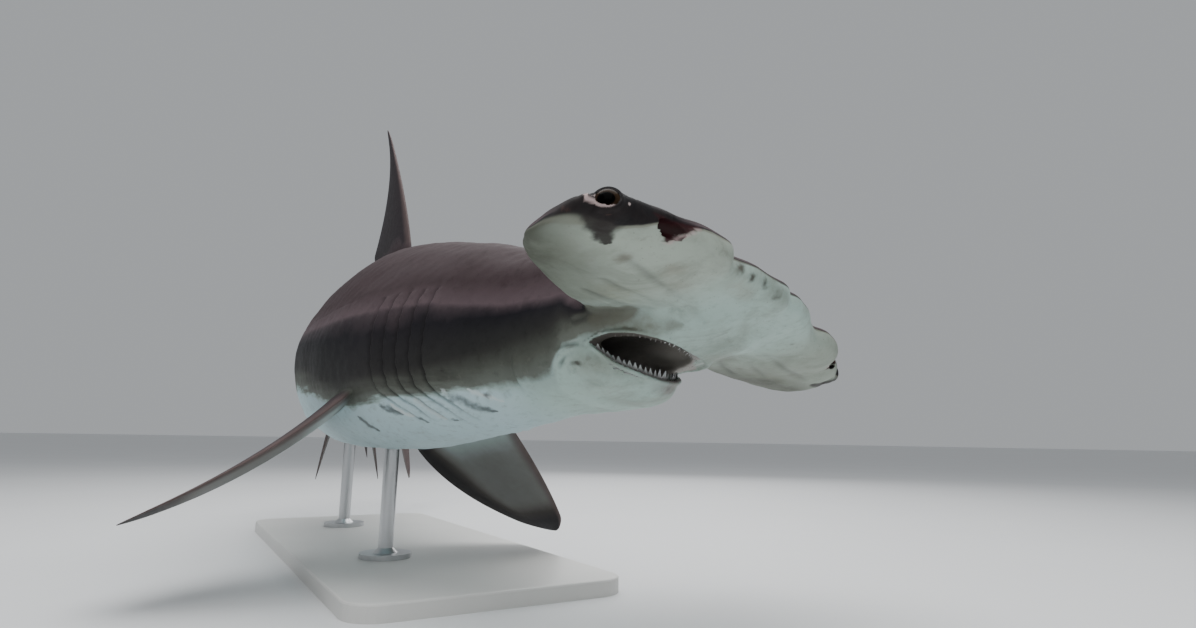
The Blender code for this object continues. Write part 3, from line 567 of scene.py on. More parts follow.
# Folds and creases: their points, width and depth; the same on both sides
folds = (
    (((0.298, 0.124, -0.0735), (0.318, 0.128, -0.075), (0.343, 0.130, -0.083)), 0.0030, 0.0035),
    (((0.300, 0.118, -0.080), (0.322, 0.122, -0.094), (0.338, 0.122, -0.112)), 0.0035, 0.0022),
    (((0.348, 0.129, -0.096), (0.352, 0.127, -0.110), (0.345, 0.122, -0.126)), 0.0030, 0.0020),
    (((0.262, 0.150, -0.030), (0.282, 0.140, -0.036), (0.310, 0.137, -0.042)), 0.0050, 0.0022),
    (((0.040, 0.258, 0.004), (0.042, 0.225, 0.004), (0.048, 0.180, 0.002), (0.050, 0.150, 0.002)),
     0.0028, 0.0030),
    (((0.120, 0.075, -0.042), (0.116, 0.150, -0.036), (0.112, 0.235, -0.036), (0.108, 0.320, -0.036)),
     0.0060, 0.0012),
    (((0.150, 0.110, -0.044), (0.160, 0.190, -0.040), (0.165, 0.270, -0.040)), 0.0060, 0.0012),
    (((0.200, 0.140, -0.040), (0.215, 0.190, -0.036), (0.215, 0.240, -0.036)), 0.0070, 0.0014),
    (((1.86, 0.000, -0.120), (1.94, 0.000, -0.106)), 0.0040, 0.0040))


def slitStation(station, z):
    t = (z - gills["middle"]) / gills["half"]
    down = ease((gills["forwardStart"] - z) / gills["forwardDepth"])
    return station - gills["bow"] * t**2 - gills["forward"] * down


def slitStrength(y, z):
    t = np.clip(np.abs(z - gills["middle"]) / gills["half"], 0.0, 1.0)
    return (1.0 - t**2) ** 0.5 * ease((np.abs(y) - 0.04) / 0.03)


def lineDistance(place, line, both=True):
    # Distance from each place to a line of points, and the share along it
    spot = place.copy()
    if both:
        spot[:, 1] = np.abs(spot[:, 1])
    best, line = np.full(len(spot), 9.0), np.array(line)
    along = np.zeros(len(spot))
    for i, (a, b) in enumerate(zip(line, line[1:])):
        share = np.clip(((spot - a) @ (b - a)) / ((b - a) @ (b - a)), 0.0, 1.0)
        away = np.linalg.norm(spot - a - share[:, None] * (b - a), axis=1)
        nearer = away < best
        best[nearer], along[nearer] = away[nearer], (i + share[nearer]) / (len(line) - 1)
    return best, along


def ripple(place, size, seed):
    # A gentle uneven swell from a few crossing waves
    draw = np.random.default_rng(seed)
    total = np.zeros(len(place))
    for _ in range(7):
        way = draw.normal(size=3)
        way *= 2 * pi / size / np.linalg.norm(way) * draw.uniform(0.6, 1.5)
        total += np.sin(place @ way + draw.uniform(0, 2 * pi))
    return total / 7**0.5


def creases(place):
    # How far the skin moves out, and how deep in a slit or crease each place is, which sets the painted shade there
    station, y, z = place.T
    move, deep = np.zeros(len(place)), np.zeros(len(place))
    strength = slitStrength(y, z)
    for at in gills["stations"]:
        behind = station - slitStation(at, z) + 0.0009 * np.sin(z * 260 + at * 90)
        lift, depth = gills["lift"], gills["depth"]
        shape = np.interp(behind, (-0.024, -0.011, -0.0035, -0.0012, 0.0008, 0.0045, 0.012),
                          (0.0, 0.45 * lift, lift, 0.8 * lift, -depth, -0.7 * depth, 0.0))
        move += shape * strength
        deep = np.maximum(deep, np.interp(behind, (-0.0012, 0.0004, 0.004, 0.009), (0, 1, 1, 0)) * strength)
    for line, width, depth in folds:
        away, share = lineDistance(place, line)
        ends = np.clip(np.minimum(share, 1.0 - share) * 6, 0.0, 1.0) ** 0.5
        dip = np.exp(-(away / width) ** 2) * ends
        move -= depth * dip
        move += 0.35 * depth * np.exp(-((away - 2.2 * width) / width) ** 2) * ends
        deep = np.maximum(deep, dip * min(depth / 0.003, 1.0))
    return move, deep


def eyeDistance(place):
    # Distance from the middle of the eye on the same side
    spot = place.copy()
    spot[:, 1] = np.abs(spot[:, 1])
    return np.linalg.norm(spot - np.array(eye["place"]), axis=1)


def mouthDistance(place):
    # Distance to the nearer lip
    best = np.full(len(place), 9.0)
    near = place[:, 0] < 0.36
    for line, outline in ((mouth["upperLine"], mouth["upperLip"]), (mouth["lowerLine"], mouth["lowerLip"])):
        away = lineDistance(place[near], lipLine(line, outline), both=False)[0]
        best[near] = np.minimum(best[near], away)
    return best


def nostrilShare(place):
    # 1 on the nostril's own ellipsoid, less inside it
    spot = place.copy()
    spot[:, 1] = np.abs(spot[:, 1])
    away = (spot - np.array(nostril["place"])) * (-1, 1, 1)
    turn = nostril["turn"]
    ahead = away[:, 0] * cos(turn) + away[:, 1] * sin(turn)
    across = -away[:, 0] * sin(turn) + away[:, 1] * cos(turn)
    return np.linalg.norm(np.stack([ahead, across, away[:, 2]], 1) / np.array(nostril["size"]), axis=1)


def nostrilPaint(place):
    # The dark triangle of the nostril, its dark red and painted shade of the notch, and the pale line along its
    # lower edge
    spot = np.stack([np.abs(place[:, 1]), place[:, 2]], axis=1)
    corners = np.array(nostril["corners"])
    inside = np.full(len(place), 9.0)
    for a, b in zip(corners, np.roll(corners, -1, axis=0)):
        way = (b - a) / np.linalg.norm(b - a)
        inside = np.minimum(inside, way[1] * (spot[:, 0] - a[0]) - way[0] * (spot[:, 1] - a[1]))
    a, b = corners[1:]
    way = (b - a) / np.linalg.norm(b - a)
    below = way[0] * (spot[:, 1] - a[1]) - way[1] * (spot[:, 0] - a[0])
    along = (spot - a) @ way / np.linalg.norm(b - a)
    line = np.exp(-((below - 0.0012) / 0.0016) ** 2) * ease(along / 0.15) * ease((1.05 - along) / 0.15)
    front = ease((0.095 - place[:, 0]) / 0.01)
    return ease(inside / 0.003 + 0.5) * front, line * front


def refine(item, fine):
    # Cuts the edges between marked points in two
    work = bmesh.new()
    work.from_mesh(item.data)
    edges = [e for e in work.edges if fine[e.verts[0].index] and fine[e.verts[1].index]]
    bmesh.ops.subdivide_edges(work, edges=edges, cuts=1, use_grid_fill=True)
    bmesh.ops.triangulate(work, faces=[f for f in work.faces if len(f.verts) > 4])
    work.to_mesh(item.data)
    work.free()


def sculpt(item):
    place = onShark(points(item))
    station, y, z = place.T
    near = np.zeros(len(place), bool)
    strength = slitStrength(y, z)
    for at in gills["stations"]:
        near |= (np.abs(station - slitStation(at, z) - 0.001) < 0.0065) & (strength > 0.05)
    for line, width, depth in folds:
        if depth > 0.0015:
            near |= lineDistance(place, line)[0] < 2.2 * width
    away = eyeDistance(place)
    near |= away < 0.029
    near |= mouthDistance(place) < 0.010
    near |= nostrilShare(place) < 1.8
    refine(item, near)
    place = onShark(points(item))
    station, y, z = place.T
    move, _ = creases(place)
    away = eyeDistance(place)
    rim = np.exp(-((away - 0.0275) / 0.0022) ** 2) + 0.6 * np.exp(-((away - 0.0335) / 0.0022) ** 2)
    move -= 0.0009 * rim  # fine folds round the eye
    free = ease((mouthDistance(place) - 0.004) / 0.012) * ease((away - 0.026) / 0.010)
    move += free * (0.0011 * ripple(place, 0.11, 1) + 0.0004 * ripple(place, 0.035, 2))
    # the small pit before the tail and the line along the flank
    move -= 0.007 * np.exp(-((station - 2.325) / 0.016) ** 2) * ease((z - 0.02) / 0.04)
    flank = np.exp(-((z - lateralHeight(station)) / 0.0022) ** 2) * ease((station - 0.75) / 0.1)
    move -= 0.0008 * flank * (np.abs(y) > 0.01)
    setPoints(item, points(item) + normals(item) * move[:, None])
    setPoints(item, shapeLids(points(item)))


def lateralHeight(station):
    return np.interp(station, (0.75, 1.2, 1.9, 2.36), (0.050, 0.055, 0.028, 0.006))


def bodyExcess(place):
    # Roughly how far a place stands outside the trunk
    station, y, z = place.T
    half, top, bottom, high, low = bodySection(np.clip(station, 0.3, body["end"] - 0.02))
    power = np.where(z > 0.0, high, low)
    height = np.where(z > 0.0, top, bottom)
    share = (np.abs(y / half) ** power + np.abs(z / height) ** power) ** (1.0 / power)
    return (share - 1.0) * np.minimum(half, height)


def finShares(co):
    # Share of the chord, level and membership of the nearest fin for each point
    found = np.zeros((len(co), 3))
    for kind, station, root, lean, turn, bend in finPlaces:
        shape = fin[kind]
        origin, axes = finAxes(station, root, lean, turn)
        back, out, side = ((co - origin) @ axes.T).T
        level = out / shape["height"]
        lead, trail, thickness = finOutline(shape, level)
        chord = (back - lead) / np.maximum(trail - lead, 0.001)
        off = np.abs(side + bend * np.maximum(level, 0.0) ** 2)
        inside = (chord > -0.15) & (chord < 1.15) & (level > -0.12) & (level < 1.05) & (off < thickness + 0.006)
        found[inside] = np.stack([chord, level, np.ones(len(co))], axis=1)[inside]
    return found


def makeSkin():
    flesh = wrap("skin", 144, 320, bodyForm)
    solids, cuts = headTools()
    solids += [wrap("hammer", 96, 240, hammerForm), wrap("jaw", 96, 48, jawForm)]
    combine(flesh, solids, 'UNION')
    combine(flesh, cuts[:3], 'DIFFERENCE')
    combine(flesh, [lip(mouth["upperLine"], mouth["upperLip"]),
                    lip(mouth["lowerLine"], mouth["lowerLip"])], 'UNION')
    combine(flesh, cuts[3:], 'DIFFERENCE')
    print("flesh joined", len(flesh.data.vertices))
    step = flesh.modifiers.new("remesh", 'REMESH')
    step.mode, step.voxel_size = 'VOXEL', skin["voxel"]
    evaluated(flesh)
    print("flesh remeshed", len(flesh.data.vertices))
    place = onShark(points(flesh))
    keep = ease((mouthDistance(place) - 0.006) / 0.012) * ease((nostrilShare(place) - 1.1) / 0.9)
    smooth(flesh, 0.25 + 0.75 * keep, 0.5, 2)
    joins = keep * (place[:, 0] < skin["headReach"])
    smooth(flesh, joins, 0.6, 14)
    sculpt(flesh)
    print("skin sculpted", len(flesh.data.vertices))
    fins = [finSolid(*row) for row in finPlaces]
    fins += [tailLobe(tail["upper"], 90), tailLobe(tail["lower"], 60)]
    combine(flesh, fins, 'UNION')
    co = points(flesh)
    place = onShark(co)
    near = np.exp(-(bodyExcess(place) / skin["filletWidth"]) ** 2)
    roots = near * (finShares(co)[:, 2] > 0.5) * (place[:, 0] > 0.5)
    stalk = np.exp(-((place[:, 0] - 2.385) / 0.035) ** 2)
    smooth(flesh, np.maximum(roots, stalk), 0.5, 12)
    step = flesh.modifiers.new("thin", 'DECIMATE')
    sides = sum(len(p.vertices) - 2 for p in flesh.data.polygons)
    step.ratio = min(skin["triangles"] / sides, 1.0)
    evaluated(flesh)
    co = np.clip(points(flesh), np.array(cadBox[0]), np.array(cadBox[1]))
    setPoints(flesh, co)
    print("skin joined", sides, "to", len(flesh.data.polygons))
    return flesh


def attribute(item, name, values):
    vector = values.ndim == 2
    made = item.data.attributes.new(name, 'FLOAT_VECTOR' if vector else 'FLOAT', 'POINT')
    made.data.foreach_set("vector" if vector else "value", np.asarray(values, np.float32).ravel())


# Station, then the heights where the belly's pale ends, the flank is darkest and the back begins; the darkest band
# on the flank is partly painted shade
shade = {"rows": ((0.18, -0.056, -0.010, 0.010), (0.24, -0.062, -0.020, 0.004),
                  (0.328, -0.092, -0.026, -0.002), (0.352, -0.150, -0.040, -0.006),
                  (0.45, -0.150, -0.066, -0.012), (0.62, -0.157, -0.098, 0.004),
                  (0.82, -0.160, -0.100, 0.012), (1.05, -0.115, -0.040, 0.030),
                  (1.20, -0.105, -0.030, 0.035), (1.70, -0.075, -0.020, 0.030),
                  (2.10, -0.046, -0.015, 0.015), (2.36, -0.034, -0.012, 0.008),
                  (3.30, -0.034, -0.012, 0.008))}


def markSkin(item):
    co = points(item)
    place = onShark(co)
    station, y, z = place.T
    yaw, roll = turnAt(station)
    n = normals(item)
    across = -n[:, 0] * np.sin(yaw) + n[:, 1] * np.cos(yaw)
    upward = -across * np.sin(roll) + n[:, 2] * np.cos(roll)
    rows = np.array(shade["rows"])
    pale, dark, brown = [np.interp(station, rows[:, 0], rows[:, k]) for k in (1, 2, 3)]
    low = np.clip((z - pale) / (dark - pale), 0.0, 1.0) * 0.5
    mid = np.clip((z - dark) / (brown - dark), 0.0, 1.0) * 0.12
    top = np.clip((z - brown) / 0.05, 0.0, 1.0) * 0.38
    tone = low + mid + top
    wing = ease((np.abs(y) - 0.115) / 0.06) * ease((0.335 - station) / 0.03)
    wing = np.maximum(wing, ease((0.245 - station) / 0.09))
    edge = ease((upward - 0.16 + 0.26 * ease((np.abs(y) - 0.20) / 0.10)) / 0.66)
    rear = ease((upward + 0.55) / 0.70) * ease((station - 0.16) / 0.08)
    line = np.interp(np.abs(y), (0.20, 0.262, 0.300, 0.318, 0.340, 0.366, 0.405),
                     (0.03, 0.006, 0.002, -0.006, -0.018, -0.027, -0.025)) + 0.014 * ease((y - 0.25) / 0.05)
    tip = ease((z - line) / (0.009 + 0.014 * ease((np.abs(y) - 0.378) / 0.02)) + 0.5) * np.maximum(ease((0.125 - station) / 0.02), ease((np.abs(y) - 0.36) / 0.02))
    tone = tone * (1 - wing) + np.maximum(np.maximum(edge, rear), tip * 0.63) * wing
    hole, holeEdge = nostrilPaint(place)
    fins = finShares(co)
    share = fins[:, 2] * ease((bodyExcess(place) - 0.004) / 0.020)
    share = np.where(station > 2.36, ease((station - 2.40) / 0.06), share)
    fins[:, 2] = share
    tone = tone * (1 - share) + 0.62 * share
    inside = insideMouth(place)
    _, deep = creases(place)
    gum = np.zeros(len(place))
    near = station < 0.36
    row = lipLine(teeth["lower"], mouth["lowerLip"], teeth["reach"])
    gum[near] = ease(1.6 - lineDistance(place[near], row, both=False)[0] / 0.007)
    lids = np.zeros(len(place))
    for side in (1, -1):
        far, angle, bearing, reach = eyePolar(co, side)
        past = np.degrees(angle - reach)
        over = np.degrees(foldReach(bearing))
        lids = np.maximum(lids, (far < 0.030) * ease((past + over + 1.5) / 2.0) * ease((1.5 - past) / 2.5)
                          * ease(over / 5.0))
    for name, values in (("place", place), ("tone", tone), ("finPlace", fins), ("inside", inside),
                         ("deep", deep), ("gum", gum), ("upward", upward), ("lidFold", lids),
                         ("nostril", hole), ("nostrilEdge", holeEdge)):
        attribute(item, name, values)


def insideMouth(place):
    # Within the hollows of the mouth, or between the lips
    station, y, z = place.T
    depth = np.interp(station, *np.array(mouth["underside"]).T)
    down = np.clip((mouth["jawMiddle"] - z) / (depth + mouth["jawMiddle"]), 0.0, 1.0)
    wall = jawPlan(station, mouth["jawFront"], mouth["jawHalfWidth"], mouth["jawPower"])
    wall = wall * (1.0 - down ** mouth["power"]) ** (1.0 / mouth["power"])
    above = ease((z - lipHeight(mouth["lowerLip"], station, y) - 0.003) / 0.002)
    clear = np.maximum(ease((wall - 0.004 - np.abs(y)) / 0.002), above) * ease((z + depth - 0.005) / 0.003)
    found = np.zeros(len(place))
    for front, top, bottom in (mouth["palate"], mouth["floor"]):
        width, half = hollowSize(station, front - 0.004, top, bottom)
        near = (np.abs(y) < width + 0.004) & (np.abs(z - (top + bottom) / 2) < half + 0.004)
        found = np.maximum(found, near * (station > front - 0.003) * (station < mouth["hollowEnd"] + 0.01))
    upper = lipHeight(mouth["upperLip"], station, y) + 0.002
    lower = lipHeight(mouth["lowerLip"], station, y) + 0.0035
    corner = mouth["corner"][0]
    left = np.clip((corner - station) / (corner - mouth["upperLine"][0]), 0.0, 1.0)
    rim = mouth["upperLine"][2] * (1.0 - left ** 3.2) ** (1 / 3.2) - 0.004
    rim = rim - 0.045 * ease((y - 0.03) / 0.04) * ease((0.228 - station) / 0.02)
    between = (z < upper) & (z > lower) & (np.abs(y) < rim) & (station < corner + 0.004) & (station > 0.18)
    return np.maximum(found * clear, between * ease((z + depth - 0.003) / 0.004))


# Teeth: each line is its front, its rear end, its half width and how square it is
teeth = {"aSide": 13, "height": 0.0145, "width": 0.0200, "thickness": 0.0065, "root": 0.004,
         "fade": 0.40, "turn": 0.22, "seed": 5, "reach": radians(74.0),
         "upper": (0.190, 0.290, 0.110, 2.6), "lower": (0.2255, 0.296, 0.1165, 2.1),
         "upperSize": 0.48, "lowerSize": 1.0, "upperLift": -0.001, "lowerLift": 0.0035,
         "upperLean": radians(20.0), "lowerLean": radians(-4.0),
         "rows": ((0.0, 1.0, 0.0), (0.0070, 0.85, 38.0))}


def toothForm():
    # A flat three-sided blade that leans towards the mouth's corner, with a low heel
    work = bmesh.new()
    bmesh.ops.create_grid(work, x_segments=4, y_segments=5, size=0.5)
    for vert in work.verts:
        across, up = vert.co.x * 2, vert.co.y + 0.5
        width = 0.44 * (1.0 - up)**1.5 + 0.13 * (1.0 - up * up) + 0.02
        vert.co = (0.0, across * width + 0.12 * up**1.5, up)
    bmesh.ops.solidify(work, geom=work.faces, thickness=0.5)
    bmesh.ops.recalc_face_normals(work, faces=work.faces)
    middle = sum(v.co.x for v in work.verts) / len(work.verts)
    for vert in work.verts:
        across, up = vert.co.y - 0.12 * vert.co.z**1.5, vert.co.z
        swell = (1.0 - 0.9 * up) * max(1.0 - abs(across) * 1.6, 0.12)
        vert.co.x = (vert.co.x - middle) * 2 * swell * 0.5
    return work


def makeTeeth(name, line, outline, up):
    draw = np.random.default_rng(teeth["seed"])
    joined = bmesh.new()
    count = 2 * teeth["aSide"]
    jaw = "upper" if up < 0.0 else "lower"
    lift = teeth[jaw + "Lift"] * up
    for setBack, size, lay in teeth["rows"]:
        for i in range(count):
            share = 2 * (i + 0.5 + (0.5 if lay else 0.0)) / count - 1
            if abs(share) > 0.985:
                continue
            front, end, half, power = line
            station, y = rimPoint(teeth["reach"] * share, front + setBack, end, half - setBack, power)
            z = lipHeight(outline, station, y) + lift + (up * -0.003 if lay else 0.0)
            inward = pi + teeth["reach"] * share + draw.uniform(-teeth["turn"], teeth["turn"])
            scale = (1.0 - teeth["fade"] * abs(share)) * size * draw.uniform(0.8, 1.08) * teeth[jaw + "Size"]
            work = toothForm()
            side = 1.0 if share > 0 else -1.0
            length = teeth["height"] * scale + teeth["root"]
            size3 = Matrix.Diagonal((teeth["thickness"] * scale, -side * teeth["width"] * scale, length, 1.0))
            lean = Matrix.Rotation(up * (teeth[jaw + "Lean"] + radians(lay)), 4, 'Y')
            turn = Matrix.Rotation(inward, 4, 'Z') @ lean
            if up < 0.0:
                turn = turn @ Matrix.Rotation(pi, 4, 'X')
            sink = Matrix.Translation((0.0, 0.0, -teeth["root"]))
            spot = frameAt(station) @ Matrix.Translation((0.0, y, z)) @ turn @ sink @ size3
            bmesh.ops.transform(work, matrix=spot, verts=work.verts)
            part = bpy.data.meshes.new("tooth")
            work.to_mesh(part)
            work.free()
            joined.from_mesh(part)
            bpy.data.meshes.remove(part)
    bmesh.ops.recalc_face_normals(joined, faces=joined.faces)
    made = asObject(name, joined)
    away = lineDistance(onShark(points(made)), lipLine(line, outline), both=False)[0]
    attribute(made, "toothUp", away / teeth["height"])
    step = made.modifiers.new("round", 'SUBSURF')
    step.levels = step.render_levels = 1
    evaluated(made)
    return made


# Shader maths is written as plain sums on sockets

class Socket:
    def __init__(self, look, link):
        self.look, self.link = look, link

    def maths(self, operation, first, second):
        return self.look.node("Math", {"operation": operation}, {0: first, 1: second})

    def __add__(self, other):
        return self.maths('ADD', self, other)

    def __sub__(self, other):
        return self.maths('SUBTRACT', self, other)

    def __rsub__(self, other):
        return self.maths('SUBTRACT', other, self)

    def __mul__(self, other):
        return self.maths('MULTIPLY', self, other)

    def __truediv__(self, other):
        return self.maths('DIVIDE', self, other)

    def __rtruediv__(self, other):
        return self.maths('DIVIDE', other, self)

    def __pow__(self, other):
        return self.maths('POWER', self, other)

    __radd__, __rmul__ = __add__, __mul__


class Look:
    def __init__(self, name, roughness=0.5, metallic=0.0, specular=0.5):
        self.material = bpy.data.materials.new(name)
        self.material.use_nodes = True
        self.tree = self.material.node_tree
        self.shader = self.tree.nodes["Principled BSDF"]
        self.set("Roughness", roughness)
        self.set("Metallic", metallic)
        self.set("Specular IOR Level", specular)

    def feed(self, socket, value):
        if isinstance(value, Socket):
            self.tree.links.new(value.link, socket)
        else:
            socket.default_value = value

    def set(self, name, value):
        self.feed(self.shader.inputs[name], value)

    def node(self, kind, settings, values, output=0):
        made = self.tree.nodes.new("ShaderNode" + kind)
        for key, value in settings.items():
            if key == "stops":
                ramp = made.color_ramp
                while len(ramp.elements) < len(value):
                    ramp.elements.new(0.5)
                for stop, (at, colour) in zip(ramp.elements, value):
                    stop.position, stop.color = at, (*colour, 1.0)
            else:
                setattr(made, key, value)
        for key, value in values.items():
            self.feed(made.inputs[key], value)
        return Socket(self, made.outputs[output])

    def attribute(self, name, output="Fac"):
        return self.node("Attribute", {"attribute_name": name}, {}, output)

    def parts(self, vector):
        return [self.node("SeparateXYZ", {}, {0: vector}, k) for k in range(3)]

    def noise(self, at, scale, detail=3.0, roughness=0.5, distortion=0.0, output=0):
        return self.node("TexNoise", {}, {"Vector": at, "Scale": scale, "Detail": detail,
                                          "Roughness": roughness, "Distortion": distortion}, output)

    def cells(self, at, scale, feature='F1'):
        return self.node("TexVoronoi", {"feature": feature}, {"Vector": at, "Scale": scale}, "Distance")

    def stretch(self, at, scale, turn=(0.0, 0.0, 0.0), move=(0.0, 0.0, 0.0)):
        return self.node("Mapping", {}, {"Vector": at, "Location": move, "Rotation": turn, "Scale": scale})

    def step(self, value, low, high):
        # Eased from 0 at low to 1 at high
        return self.node("MapRange", {"interpolation_type": 'SMOOTHSTEP'},
                         {"Value": value, "From Min": low, "From Max": high})

    def mix(self, share, first, second, way='MIX'):
        made = {"data_type": 'RGBA', "blend_type": way, "clamp_factor": True}
        first, second = [(*c, 1.0) if isinstance(c, tuple) else c for c in (first, second)]
        return self.node("Mix", made, {0: share, 6: first, 7: second}, 2)

    def ramp(self, value, *stops):
        return self.node("ValToRGB", {"stops": stops}, {0: value})

    def blob(self, at, centre, size, soft=0.5):
        # 1 in the middle of an ellipsoid and 0 outside it
        away = self.node("VectorMath", {"operation": 'SUBTRACT'}, {0: at, 1: centre})
        away = self.node("VectorMath", {"operation": 'DIVIDE'}, {0: away, 1: size})
        away = self.node("VectorMath", {"operation": 'LENGTH'}, {0: away}, "Value")
        return self.step(away, 1.0, 1.0 - soft)

    def vector(self, operation, first, second, output=0):
        return self.node("VectorMath", {"operation": operation}, {0: first, 1: second}, output)

    def stroke(self, at, start, end, width, soft=0.6):
        # 1 along a line between two places, narrowing to its ends
        start, end = Vector(start), Vector(end)
        way = end - start
        away = self.vector('SUBTRACT', at, start[:])
        share = self.vector('DOT_PRODUCT', away, (way / way.length_squared)[:], "Value")
        share = self.node("Clamp", {}, {0: share})
        foot = self.node("VectorMath", {"operation": 'SCALE'}, {0: way[:], "Scale": share})
        away = self.vector('LENGTH', self.vector('SUBTRACT', away, foot), (0.0, 0.0, 0.0), "Value")
        thin = (share * (1.0 - share) * 4.0) ** 0.5 * width + 0.0006
        return self.step(away / thin, 1.0, 1.0 - soft)

    def bump(self, height, strength, distance):
        return self.node("Bump", {}, {"Strength": strength, "Distance": distance, "Height": height})

    def room(self):
        return self.node("TexCoord", {}, {}, "Object")


# Marks on the skin: middle, half sizes, how strong; on one side only, as on a living animal
darkSpots = (
    ((0.111, -0.303, -0.033), (0.018, 0.017, 0.03), 0.95),
    ((0.040, -0.142, 0.004), (0.011, 0.015, 0.013), 1.0),
    ((0.036, -0.118, 0.000), (0.010, 0.010, 0.011), 1.0),
    ((0.030, -0.088, 0.002), (0.010, 0.018, 0.010), 1.0),
    ((0.026, -0.052, -0.002), (0.010, 0.013, 0.012), 0.95),
    ((0.302, -0.116, -0.103), (0.0130, 0.03, 0.0060), 0.95),
    ((0.496, -0.096, -0.141), (0.009, 0.02, 0.006), 0.75),
    ((0.226, 0.022, -0.112), (0.006, 0.009, 0.006), 0.40),
    ((0.231, 0.040, -0.116), (0.007, 0.009, 0.006), 0.50),
    ((0.118, 0.268, -0.040), (0.010, 0.012, 0.03), 0.60),
    ((0.190, 0.205, -0.040), (0.007, 0.009, 0.03), 0.45),
    ((0.066, 0.128, -0.030), (0.006, 0.007, 0.03), 0.50))
brownPatches = (
    ((0.081, -0.237, -0.030), (0.028, 0.026, 0.05), 0.65),
    ((0.052, -0.110, -0.010), (0.024, 0.045, 0.05), 0.45),
    ((0.205, -0.105, -0.050), (0.070, 0.034, 0.020), 0.55),
    ((0.200, 0.130, -0.040), (0.050, 0.110, 0.03), 0.35),
    ((0.165, 0.060, -0.050), (0.030, 0.070, 0.03), 0.30),
    ((0.228, 0.025, -0.105), (0.016, 0.040, 0.025), 0.50),
    ((0.270, -0.105, -0.105), (0.060, 0.060, 0.030), 0.30),
    ((0.100, -0.200, -0.034), (0.030, 0.050, 0.05), 0.30),
    ((0.290, -0.060, -0.130), (0.060, 0.060, 0.020), 0.18))
olivePatches = (
    ((0.180, -0.215, -0.036), (0.045, 0.075, 0.04), 0.60),
    ((0.150, -0.345, -0.030), (0.075, 0.050, 0.04), 0.35),
    ((0.165, 0.280, -0.036), (0.060, 0.080, 0.04), 0.45))
# Slanting slashes at the lower ends of the gill slits: both ends, width
paleSlashes = (
    ((0.642, 0.127, -0.142), (0.600, 0.072, -0.178), 0.0075),
    ((0.586, 0.127, -0.124), (0.562, 0.104, -0.148), 0.0060),
    ((0.530, 0.113, -0.132), (0.470, 0.080, -0.148), 0.0065),
    ((0.700, 0.134, -0.150), (0.655, 0.092, -0.178), 0.0060))
darkSlashes = (
    ((0.576, 0.116, -0.137), (0.497, 0.060, -0.161), 0.0110),
    ((0.634, 0.125, -0.138), (0.582, 0.064, -0.176), 0.0085),
    ((0.668, 0.112, -0.160), (0.640, 0.078, -0.180), 0.0055),
    ((0.722, 0.132, -0.150), (0.676, 0.108, -0.168), 0.0080),
    ((0.800, 0.130, -0.166), (0.770, 0.095, -0.190), 0.0070))


